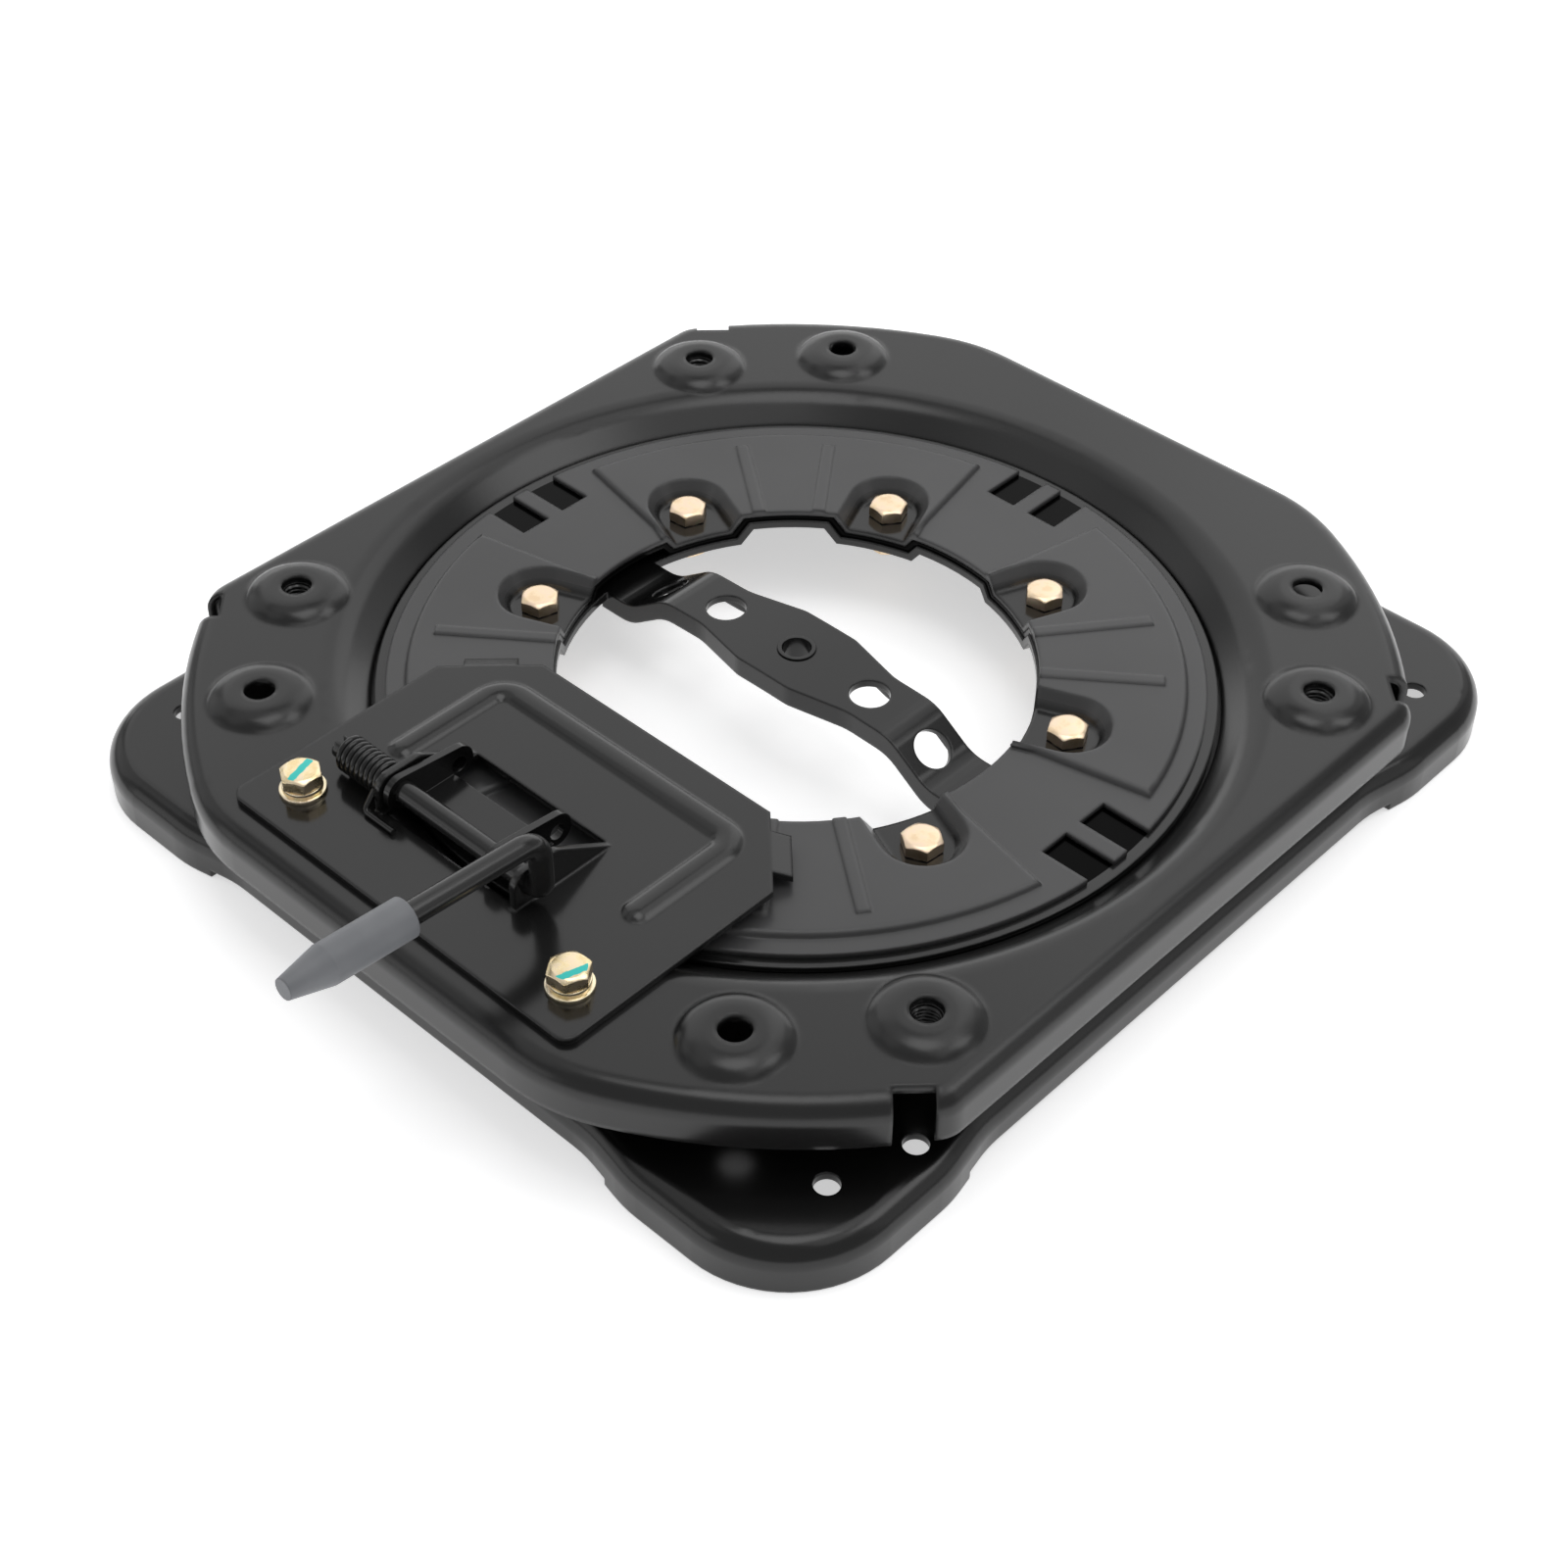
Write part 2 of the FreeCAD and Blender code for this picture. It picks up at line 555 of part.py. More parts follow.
def make_turntable():
    body = new_body("turntable_plate")
    solid(body, "AdditiveCylinder", "table_blank", (0, 0, skirt_end),
          Radius=table_radius, Height=table_skirt)
    trim = flat_sketch(body, "table_trim", table_top)
    far = table_radius + 20 * PAST
    trace(trim, [(-far, -far), (far, -far), (far, far), (-far, far)])
    trace(trim, [(-table_half_x, -table_half_y), (table_half_x, -table_half_y),
                 (table_half_x, table_half_y), (-table_half_x, table_half_y)])
    cut = pocket(body, trim, "table_sides", table_skirt)
    cut = rounded(body, cut, "table_front_blends", table_blend,
                  lambda e: upright(e) and abs(abs(e.CenterOfMass.y) - num(table_half_y)) < 0.1)
    cut = rounded(body, cut, "table_side_blends", table_bevel,
                  lambda e: upright(e) and abs(abs(e.CenterOfMass.x) - num(table_half_x)) < 0.1)
    cut = rounded(body, cut, "table_bend", table_roll, lambda e: level(e, table_top))
    bent_sheet(body, cut, "table_shell", plate_gauge, skirt_end)

    solid(body, "SubtractiveCylinder", "table_opening", (0, 0, table_under - PAST),
          Radius=shoulder_radius, Height=plate_gauge + 2 * PAST)
    slope = well_depth / (shoulder_radius - well_radius)
    outer_foot = well_radius + plate_gauge
    section = upright_sketch(body, "well_section")
    trace(section, [(shoulder_radius, table_top),
                    (well_radius, well_edge),
                    (well_radius, flange_top),
                    (flange_radius, flange_top),
                    (flange_radius, flange_under),
                    (outer_foot, flange_under),
                    (outer_foot, table_under - (shoulder_radius - outer_foot) * slope),
                    (shoulder_radius, table_under)])
    well = turned(body, section, "well")
    well = rounded(body, well, "shoulder_top", shoulder_round + plate_gauge,
                   lambda e: level(e, table_top) and abs(span(e) - num(shoulder_radius)) < 0.1)
    well = rounded(body, well, "shoulder_under", shoulder_round,
                   lambda e: level(e, table_under) and abs(span(e) - num(shoulder_radius)) < 0.1)

    shoulder = table_top + boss_rise * 0.55
    for kind, x, y in (("threaded", thread_x, thread_y), ("plain", plain_x, plain_y)):
        dome = upright_sketch(body, kind + "_boss_section", x, y)
        foot, flat = boss_foot / 2, boss_flat / 2
        trace(dome, [(0, table_under + PAST), (foot, table_under + PAST), (foot, table_top),
                     (foot - boss_rise / 2, shoulder),
                     (flat, boss_top), (0, boss_top)])
        raised = turned(body, dome, kind + "_boss")
        under = upright_sketch(body, kind + "_boss_hollow_section", x, y)
        trace(under, [(0, table_under - PAST), (foot - plate_gauge * 0.8, table_under - PAST),
                      (foot - plate_gauge * 0.8, table_under),
                      (flat, boss_top - plate_gauge), (0, boss_top - plate_gauge)])
        hollow = turned(body, under, kind + "_boss_hollow", "Groove")
        bore = solid(body, "SubtractiveCylinder", kind + "_boss_bore",
                     (x, y, table_under - 2 * PAST), Radius=boss_hole / 2, Height=boss_rise + 6 * PAST)
        last = mirrored(body, [raised, hollow, bore], kind + "_bosses")
    last = rounded(body, last, "boss_shoulders", boss_rise * 2, lambda e: level(e, shoulder))
    rounded(body, last, "boss_crowns", boss_rise * 2.5,
            lambda e: level(e, boss_top) and e.Length > num(boss_hole) * 4)

    corner = solid(body, "SubtractiveBox", "notch",
                   (notch_reach * cosine(45) + (notch_shift + notch_width / 2) * cosine(45),
                    notch_reach * sine(45) - (notch_shift + notch_width / 2) * sine(45),
                    skirt_end - PAST),
                   45, Length=40, Width=notch_width, Height=table_skirt + 2 * PAST)
    mirrored(body, [corner], "notches")

    for x in (-latch_bolt_x, latch_bolt_x):
        side = "left" if x.value < 0 else "right"
        solid(body, "SubtractiveCylinder", "latch_bolt_hole_" + side,
              (x, -latch_bolt_y, table_under - PAST),
              Radius=bolt_size / 2 + shank_room, Height=plate_gauge + 2 * PAST)
    pieces.append(body)


make_turntable()


# Clamped ring discs: raised sectors, pressed bolt seats and latch slots

BOLT_TURN = 22.5
seat_flare = sine(pocket_lean) / cosine(pocket_lean)
seat_nesting = (ring_gauge + form_gap) / cosine(pocket_lean) - ring_gauge * seat_flare


def turn_for(length):
    """The angle in degrees that a length spans on the bolt circle."""
    return length / bolt_circle * (180 / math.pi)


def make_disc(name, top, edge, layer, slotted):
    """One pressed disc, inset by as many sheets as lie above it."""
    body = new_body(name)
    under = top - ring_gauge
    solid(body, "AdditiveCylinder", name + "_blank", (0, 0, under),
          Radius=edge, Height=ring_gauge)

    inset = (ring_gauge + form_gap) * layer
    start = sector_margin + turn_for(inset)
    sweep = 90 - 2 * start
    panel_edge = sector_radius - inset
    raised = solid(body, "AdditiveCylinder", name + "_sector", (0, 0, under), start,
                   Radius=panel_edge, Height=ring_gauge + sector_rise, Angle=sweep)
    around(body, [raised], name + "_sectors", 4)
    last = solid(body, "SubtractiveCylinder", name + "_eye", (0, 0, under - PAST),
                 Radius=ring_bore, Height=ring_gauge + sector_rise + 2 * PAST)
    last = rounded(body, last, name + "_sector_edges", ring_gauge * 0.9,
                   lambda e: level(e, top + sector_rise) and span(e) > num(ring_bore) + 1)

    # each turned feature is repeated before the next one is made
    rib_half = rib_width / 2
    rib_start = ring_bore * 0.95
    for sign in (-1, 1) if slotted else ():
        angle = 45 + sign * rib_angle
        rib = solid(body, "AdditiveBox", name + ("_rib_low" if sign < 0 else "_rib_high"),
                    (rib_start * cosine(angle) + rib_half * sine(angle),
                     rib_start * sine(angle) - rib_half * cosine(angle),
                     top + sector_rise - ring_gauge * 0.5),
                    angle, Length=panel_edge - rib_start - rib_inset, Width=rib_width,
                    Height=ring_gauge * 0.5 + rib_height)
        last = around(body, [rib], rib.Name + "s", 4)
    if slotted:
        crown = top + sector_rise + rib_height
        rounded(body, last, name + "_rib_crowns", rib_height * 0.95,
                lambda e: level(e, crown) and span(e) > num(ring_bore))

    wall_turn = turn_for(ring_gauge)
    hollow = solid(body, "SubtractiveCylinder", name + "_hollow", (0, 0, under - PAST),
                   start + wall_turn, Radius=panel_edge - ring_gauge,
                   Height=PAST + sector_rise, Angle=sweep - 2 * wall_turn)
    around(body, [hollow], name + "_hollows", 4)

    seat_x, seat_y = bolt_circle * cosine(BOLT_TURN), bolt_circle * sine(BOLT_TURN)
    seat_top = top - seat_drop
    throat_start = ring_bore * 0.9
    throat_run = bolt_circle - throat_start
    throat_middle = throat_start + throat_run / 2

    def seat(kind, tag, radius, low, height):
        """A flared horseshoe, round at the bolt and open toward the bore."""
        wide = radius + height * seat_flare
        cup = solid(body, kind + "Cone", name + tag, (seat_x, seat_y, low),
                    Radius1=radius, Radius2=wide, Height=height)
        around(body, [cup], name + tag + "s", 8)
        drawn = upright_sketch(body, name + tag + "_throat_section",
                               throat_middle * cosine(BOLT_TURN),
                               throat_middle * sine(BOLT_TURN), 90 + BOLT_TURN)
        trace(drawn, [(-radius, low), (radius, low), (wide, low + height),
                      (-wide, low + height)])
        shape = pad if kind == "Additive" else pocket
        throat = shape(body, drawn, name + tag + "_throat", throat_run, "Symmetric")
        around(body, [throat], name + tag + "_throats", 8)

    wall_rise = sector_rise * 0.5 if slotted else Size.of(0)
    floor_edge = pocket_radius + seat_nesting * layer
    wall_foot = floor_edge + ring_gauge / cosine(pocket_lean) - ring_gauge * seat_flare
    seat("Additive", "_seat_wall", wall_foot,
         seat_top - ring_gauge, seat_drop + ring_gauge + wall_rise)
    seat("Subtractive", "_seat", floor_edge, seat_top, seat_drop + sector_rise + 2 * PAST)
    hole = solid(body, "SubtractiveCylinder", name + "_bolt_hole",
                 (seat_x, seat_y, seat_top - ring_gauge - PAST),
                 Radius=bolt_size / 2 + shank_room, Height=ring_gauge + 2 * PAST)
    around(body, [hole], name + "_bolt_holes", 8)
    solid(body, "SubtractiveCylinder", name + "_bore", (0, 0, seat_top - ring_gauge - PAST),
          Radius=ring_bore, Height=seat_drop + sector_rise + 8 * PAST)
    if slotted:
        slots = [solid(body, "SubtractiveBox", name + "_slot_left",
                       (slot_start, tab_half, under - PAST),
                       Length=slot_length + 2 * PAST, Width=slot_side - tab_half,
                       Height=ring_gauge + 2 * PAST),
                 solid(body, "SubtractiveBox", name + "_slot_right",
                       (slot_start, -slot_side, under - PAST),
                       Length=slot_length + 2 * PAST, Width=slot_side - tab_half,
                       Height=ring_gauge + 2 * PAST)]
        around(body, slots, name + "_slots", 4)
    pieces.append(body)


make_disc("ring_disc_upper", ring_top, ring_radius, 0, True)
make_disc("ring_disc_lower", ring_under, floor_radius, 1, False)


# Base plate: skirted pressing with four corner lobes, raised hub and bridge

def lobed_outline():
    """Plan of the base: straight sides with a slightly bulging lobe at each corner."""
    corners = []
    for turn_x, turn_y in ((-1, -1), (1, -1), (1, 1), (-1, 1)):
        edge_y = base_front if turn_y < 0 else base_back
        for x, y in ((base_half_x, edge_y - lobe_reach - lobe_run),
                     (base_half_x + lobe_bulge, edge_y - lobe_reach),
                     (base_half_x + lobe_bulge, edge_y + lobe_bulge),
                     (base_half_x - lobe_reach, edge_y + lobe_bulge),
                     (base_half_x - lobe_reach - lobe_run, edge_y)):
            corners.append((x * turn_x, y * turn_y))
    return sorted(corners, key=lambda spot: math.atan2(num(spot[1]), num(spot[0])))


def sector_block(radius, start, sweep, low, high):
    """A slice of a round block, from an angle over a sweep of degrees."""
    block = Part.makeCylinder(radius, high - low, Vector(0, 0, low), Vector(0, 0, 1), sweep)
    block.rotate(Vector(), Vector(0, 0, 1), start)
    return block


def seat_form(turn, low, radius, height):
    """The space of a flared bolt seat: a cone at the bolt and a throat toward the bore."""
    wide = radius + height * num(seat_flare)
    bolt_x = num(bolt_circle)
    start = num(base_bore) * 0.9
    cup = Part.makeCone(radius, wide, height, Vector(bolt_x, 0, low))
    corners = [Vector(start, -radius, low), Vector(start, radius, low),
               Vector(start, wide, low + height), Vector(start, -wide, low + height)]
    section = Part.makePolygon(corners + corners[:1])
    form = cup.fuse(Part.Face(section).extrude(Vector(bolt_x - start, 0, 0)))
    form.rotate(Vector(), Vector(0, 0, 1), turn)
    return form


def raised_land():
    """The land where it follows the discs between the bolts, and the space under it."""
    gauge = num(plate_gauge)
    start = num(sector_margin + turn_for((ring_gauge + form_gap) * 2))

    def form(radius, inset, drop, low):
        """The flat and its two sectors on one side of the bridge."""
        first = start + inset
        block = sector_block(radius, first, 180 - 2 * first, low, num(floor_under) - drop)
        for turn in (0, 90):
            block = block.fuse(sector_block(radius, turn + first, 90 - 2 * first, low,
                                            num(floor_under + sector_rise) - drop))
        return block

    floor_edge = num(pocket_radius + seat_nesting * 2)
    wall = num(plate_gauge / cosine(pocket_lean))
    depth = num(seat_drop + sector_rise) + 2 * PAST
    solid_form = form(num(land_radius), 0, 0, num(land_under))
    room = form(num(land_radius) - gauge, num(turn_for(plate_gauge)), gauge, num(land_under) - PAST)
    for station in (0, 90):
        for turn in (station + BOLT_TURN, station + 90 - BOLT_TURN):
            solid_form = solid_form.cut(seat_form(turn, num(land_top), floor_edge, depth))
            below = gauge + PAST
            room = room.cut(seat_form(turn, num(land_under) - PAST,
                                      floor_edge + wall - below * num(seat_flare),
                                      depth + below))
    bore = Part.makeCylinder(num(base_bore), num(boss_top))
    raised = solid_form.cut(room).cut(bore)
    far_raised, far_room = raised.copy(), room.copy()
    for shape in (far_raised, far_room):
        shape.rotate(Vector(), Vector(0, 0, 1), 180)
    return Part.makeCompound([raised, far_raised]), Part.makeCompound([room, far_room])


def land_bolt_holes():
    """The eight bolt holes of the land, as the bars that cut them."""
    bars = []
    for i in range(8):
        bar = Part.makeCylinder(num(bolt_size / 2 + shank_room), num(plate_gauge) + 2 * PAST,
                                Vector(num(bolt_circle), 0, num(land_under) - PAST))
        bar.rotate(Vector(), Vector(0, 0, 1), BOLT_TURN + 45 * i)
        bars.append(bar)
    return Part.makeCompound(bars)


def make_base():
    body = new_body("base_pan")
    plan = flat_sketch(body, "base_plan")
    trace(plan, lobed_outline())
    last = pad(body, plan, "base_blank", base_rim)
    corner_x = base_half_x + lobe_bulge

    def straight_run(edge):
        """Whether an upright edge stands where a side turns toward its lobe."""
        x, y = abs(edge.CenterOfMass.x), abs(edge.CenterOfMass.y)
        beside = min(abs(x - num(base_half_x)), abs(x - num(corner_x))) < 0.1
        return not beside or y < num(base_front)

    last = rounded(body, last, "lobe_corners", lobe_round,
                   lambda e: upright(e) and abs(abs(e.CenterOfMass.x) - num(corner_x)) < 0.1
                   and abs(e.CenterOfMass.y) > num(base_front))
    last = rounded(body, last, "lobe_blends", lobe_blend,
                   lambda e: upright(e) and e.BoundBox.ZLength > num(base_rim) - 0.1
                   and straight_run(e))
    last = rounded(body, last, "base_bend", base_roll, lambda e: level(e, base_rim))
    bent_sheet(body, last, "base_shell", plate_gauge, 0)

    # the skirt stands clear of the floor between the lobes
    lobe_x = base_half_x - lobe_reach - lobe_run / 2
    solid(body, "SubtractiveBox", "front_back_lift", (-lobe_x, -base_front - 20 * PAST, -PAST),
          Length=lobe_x * 2, Width=base_front + base_back + 40 * PAST, Height=side_lift + PAST)
    lobe_back = base_back - lobe_reach - lobe_run / 2
    lobe_front = base_front - lobe_reach - lobe_run / 2
    solid(body, "SubtractiveBox", "side_lift", (-base_half_x - 20 * PAST, -lobe_front, -PAST),
          Length=base_half_x * 2 + 40 * PAST, Width=lobe_front + lobe_back, Height=side_lift + PAST)

    solid(body, "SubtractiveCylinder", "hub_opening", (0, 0, base_rim - plate_gauge - PAST),
          Radius=hub_foot, Height=plate_gauge + 2 * PAST)
    section = upright_sketch(body, "hub_section")
    rim_under = base_rim - plate_gauge
    ledge_under = ledge_top - plate_gauge
    trace(section, [(hub_foot, base_rim),
                    (hub_head, ledge_top),
                    (land_radius + land_step, ledge_top),
                    (land_radius, land_top),
                    (base_bore, land_top),
                    (base_bore, land_under),
                    (land_radius - land_step * 2, land_under),
                    (land_radius - land_step, ledge_under),
                    (hub_head - hub_wall, ledge_under),
                    (hub_foot - hub_wall * 1.2, rim_under),
                    (hub_foot, rim_under)])
    turned(body, section, "hub")

    drilled = flat_sketch(body, "foot_hole_places", base_rim + PAST)
    for inset_x, inset_y in ((inner_inset_x, inner_inset_y), (outer_inset_x, outer_inset_y)):
        for turn_x in (-1, 1):
            for turn_y in (-1, 1):
                ring(drilled, (base_half_x - inset_x) * turn_x,
                     base_middle + (base_mean - inset_y) * turn_y, foot_hole / 2)
    pocket(body, drilled, "foot_holes", plate_gauge + 2 * PAST)

    # bridge: a strip bent to the side profile, cut to the plan and turned down at its edges
    reach = num(base_bore) + 2 * PAST
    joint = num(land_radius - land_room)

    def strip(top_drop, depth):
        """The strip's side view, lowered and as deep as asked, right across its width."""
        drop = num(top_drop)
        spots = [Vector(-joint, 0, num(land_top) - drop),
                 Vector(-num(bridge_foot), 0, num(land_top) - drop),
                 Vector(-num(bridge_bend), 0, num(bridge_end) - drop),
                 Vector(0, 0, num(bridge_crown) - drop),
                 Vector(num(bridge_bend), 0, num(bridge_end) - drop),
                 Vector(num(bridge_foot), 0, num(land_top) - drop),
                 Vector(joint, 0, num(land_top) - drop)]
        bend = num(bridge_round)
        upper = soft_line(spots, [bend + drop, bend - drop, num(bridge_sweep), bend - drop,
                                  bend + drop])
        down = Vector(0, 0, -num(depth))
        ends = [Part.LineSegment(spots[-1], spots[-1] + down).toShape()]
        lower = [edge.translated(down) for edge in upper]
        wire = Part.Wire(Part.__sortEdges__(
            upper + ends + lower + [Part.LineSegment(spots[0] + down, spots[0]).toShape()]))
        width = num(bridge_eye) * 3
        return Part.Face(wire).extrude(Vector(0, width, 0)).translated(Vector(0, -width / 2, 0))

    def plan_block(inset, end):
        """The strip's plan: widest round the bush, narrow on either side."""
        wide = num(bridge_eye) - inset
        narrow = num(bridge_half) - inset
        run, neck = num(bridge_eye_run), num(bridge_neck_run)
        half = [Vector(end, narrow, 0), Vector(neck, narrow, 0), Vector(run, wide, 0),
                Vector(-run, wide, 0), Vector(-neck, narrow, 0), Vector(-end, narrow, 0)]
        bend = num(bridge_eye_run)
        upper = soft_line(half, [bend * 2, bend, bend, bend * 2])
        lower = [edge.mirror(Vector(0, 0, 0), Vector(0, 1, 0)) for edge in upper]
        caps = [Part.LineSegment(Vector(s * end, -narrow, 0), Vector(s * end, narrow, 0)).toShape()
                for s in (-1, 1)]
        wire = Part.Wire(Part.__sortEdges__(upper + lower + caps))
        return Part.Face(wire).extrude(Vector(0, 0, num(boss_top)))

    gauge = num(plate_gauge)
    bar = strip(0, bridge_depth).common(plan_block(0, reach))
    hollow = strip(plate_gauge, bridge_depth).common(plan_block(gauge, reach + 10 * PAST))
    bridge_shape = bar.cut(hollow)
    for x in (-num(bridge_hole_out), -num(bridge_hole_in), num(bridge_hole_in),
              num(bridge_hole_out)):
        if abs(x) < num(bridge_bend):
            axis, top = Vector(0, 0, 1), num(bridge_crown)
        else:
            fall = num(bridge_end) - num(land_top)
            run = num(bridge_foot) - num(bridge_bend)
            axis = Vector(math.copysign(fall, x), 0, run).normalize()
            top = num(bridge_end) - fall * (abs(x) - num(bridge_bend)) / run
        depth = num(bridge_depth)
        start = Vector(x, 0, top) - axis * depth
        bridge_shape = bridge_shape.cut(
            Part.makeCylinder(num(bridge_hole) / 2, depth * 2, start, axis))
    seat = Part.makeCylinder(num(bush_outer) / 2, num(boss_top), Vector(0, 0, num(land_top)))
    bridge_shape = bridge_shape.cut(seat)

    raised, room = raised_land()
    opened = doc.addObject("Part::Cut", "base_pan_opened")
    opened.Base = body
    opened.Tool = plain_part("land_room_below", room)
    joined = doc.addObject("Part::MultiFuse", "base_sheet")
    joined.Shapes = [opened, plain_part("raised_land", raised), plain_part("bridge", bridge_shape)]
    holes = doc.addObject("Part::Cut", "base_plate")
    holes.Base = joined
    holes.Tool = plain_part("ring_bolt_holes", land_bolt_holes())
    holes.Refine = True
    doc.recompute()
    pieces.append(holes)

    bush = new_body("bridge_bush")
    drawn = flat_sketch(bush, "bush_section", bridge_crown + form_gap - bush_length)
    ring(drawn, 0, 0, bush_outer / 2)
    ring(drawn, 0, 0, bush_bore / 2)
    pad(bush, drawn, "bush", bush_length)
    pieces.append(bush)


make_base()


# Fasteners: identical pieces share one node

def hexagon(body, tag, x, y, low, height, flats, kind="AdditivePrism"):
    """A hexagonal block standing at a place."""
    return solid(body, kind, tag, (x, y, low), Polygon=6, Circumradius=flats / math.sqrt(3),
                 Height=height)


def crowned(body, tag, x, y, top, flats):
    """Turns the upper corners of a hexagon off at thirty degrees."""
    drawn = upright_sketch(body, tag, x, y)
    flat_edge = flats / 2 * 0.95
    outside = flats / math.sqrt(3) + PAST
    fall = (outside - flat_edge) * math.tan(math.radians(30))
    trace(drawn, [(flat_edge, top), (outside, top), (outside, top - fall)])
    return turned(body, drawn, tag + "_turned", "Groove")


def bolt(body, tag, x, y, seat, length):
    """Hexagon bolt with its head on a seat height."""
    head = hexagon(body, tag + "_head", x, y, seat, head_height, head_flats)
    crown = crowned(body, tag + "_crown", x, y, seat + head_height, head_flats)
    shank = solid(body, "AdditiveCylinder", tag + "_shank", (x, y, seat - length),
                  Radius=bolt_size / 2, Height=length)
    return [head, crown, shank]


def make_fasteners():
    x, y = bolt_circle * cosine(22.5), bolt_circle * sine(22.5)
    grip = ring_gauge * 2 + plate_gauge
    bolts = new_body("ring_bolts")
    made = bolt(bolts, "ring_bolt", x, y, seat_floor, grip + nut_height + bolt_tail)
    around(bolts, made, "ring_bolt_set", 8)
    pieces.append(bolts)

    nuts = new_body("ring_nuts")
    block = hexagon(nuts, "ring_nut", x, y, land_under - nut_height, nut_height, head_flats)
    bore = solid(nuts, "SubtractiveCylinder", "ring_nut_bore",
                 (x, y, land_under - nut_height - PAST), Radius=bolt_size / 2 + pivot_room,
                 Height=nut_height + 2 * PAST)
    around(nuts, [block, bore], "ring_nut_set", 8)
    pieces.append(nuts)

    seat_nuts = new_body("seat_weld_nuts")
    nut_top = boss_top - plate_gauge
    x, y = thread_x, thread_y
    block = hexagon(seat_nuts, "seat_nut", x, y, nut_top - seat_nut_height,
                    seat_nut_height, seat_nut_flats)
    bore = solid(seat_nuts, "SubtractiveCylinder", "seat_nut_bore",
                 (x, y, nut_top - seat_nut_height - PAST), Radius=seat_nut_bore / 2,
                 Height=seat_nut_height + 2 * PAST)
    mirrored(seat_nuts, [block, bore], "seat_nut_set")
    pieces.append(seat_nuts)


make_fasteners()


# Glide rings above and below the running flange

def make_glide_rings():
    lower = new_body("glide_ring_lower")
    drawn = upright_sketch(lower, "glide_lower_section")
    inner = land_radius + 1.5
    outer = well_radius - glide_room
    thick = flange_under - ledge_top - slip_gap
    collar = flange_radius - form_gap
    trace(drawn, [(inner, ledge_top), (outer, ledge_top), (outer, ledge_top + thick),
                  (collar, ledge_top + thick), (collar, flange_top), (inner, flange_top)])
    turned(lower, drawn, "glide_lower")
    pieces.append(lower)

    upper = new_body("glide_ring_upper")
    drawn = upright_sketch(upper, "glide_upper_section")
    trace(drawn, [(flange_radius, flange_top), (floor_radius - 2 * glide_room, flange_top),
                  (floor_radius - 2 * glide_room, floor_under - slip_gap),
                  (flange_radius, floor_under - slip_gap)])
    turned(upper, drawn, "glide_upper")
    pieces.append(upper)


make_glide_rings()


# Latch plate: flat cover with a window, bead, turned-down tabs and two pivot ears

def bead_form(height):
    """The bead as a low round ridge along three runs, with domed ends."""
    half, crest, low = num(bead_half), num(height + bead_height), num(height)
    sunk = low - 0.2
    leg, cross, end = num(bead_half_x), -num(bead_back), -num(bead_end)
    corners = [Vector(-half, 0, sunk), Vector(-half, 0, low), Vector(0, 0, crest),
               Vector(half, 0, low), Vector(half, 0, sunk)]
    outline = [Part.LineSegment(corners[0], corners[1]), Part.Arc(*corners[1:4]),
               Part.LineSegment(corners[3], corners[4]), Part.LineSegment(corners[4], corners[0])]
    start = Vector(-leg, end, 0)
    section = Part.Wire([line.toShape().translated(start) for line in outline])
    runs = soft_line([Vector(-leg, end, low), Vector(-leg, cross, low),
                      Vector(leg, cross, low), Vector(leg, end, low)],
                     [num(bead_turn), num(bead_turn)])
    ridge = Part.Wire(runs).makePipeShell([section], True, False)

    curve = (half * half + (crest - low) ** 2) / (2 * (crest - low))
    for x in (-leg, leg):
        ball = Part.makeSphere(curve, Vector(x, end, crest - curve))
        slab = Part.makeCylinder(half, crest - low + PAST, Vector(x, end, low))
        foot = Part.makeCylinder(half, low - sunk, Vector(x, end, sunk))
        ridge = ridge.fuse([ball.common(slab), foot])
    return ridge


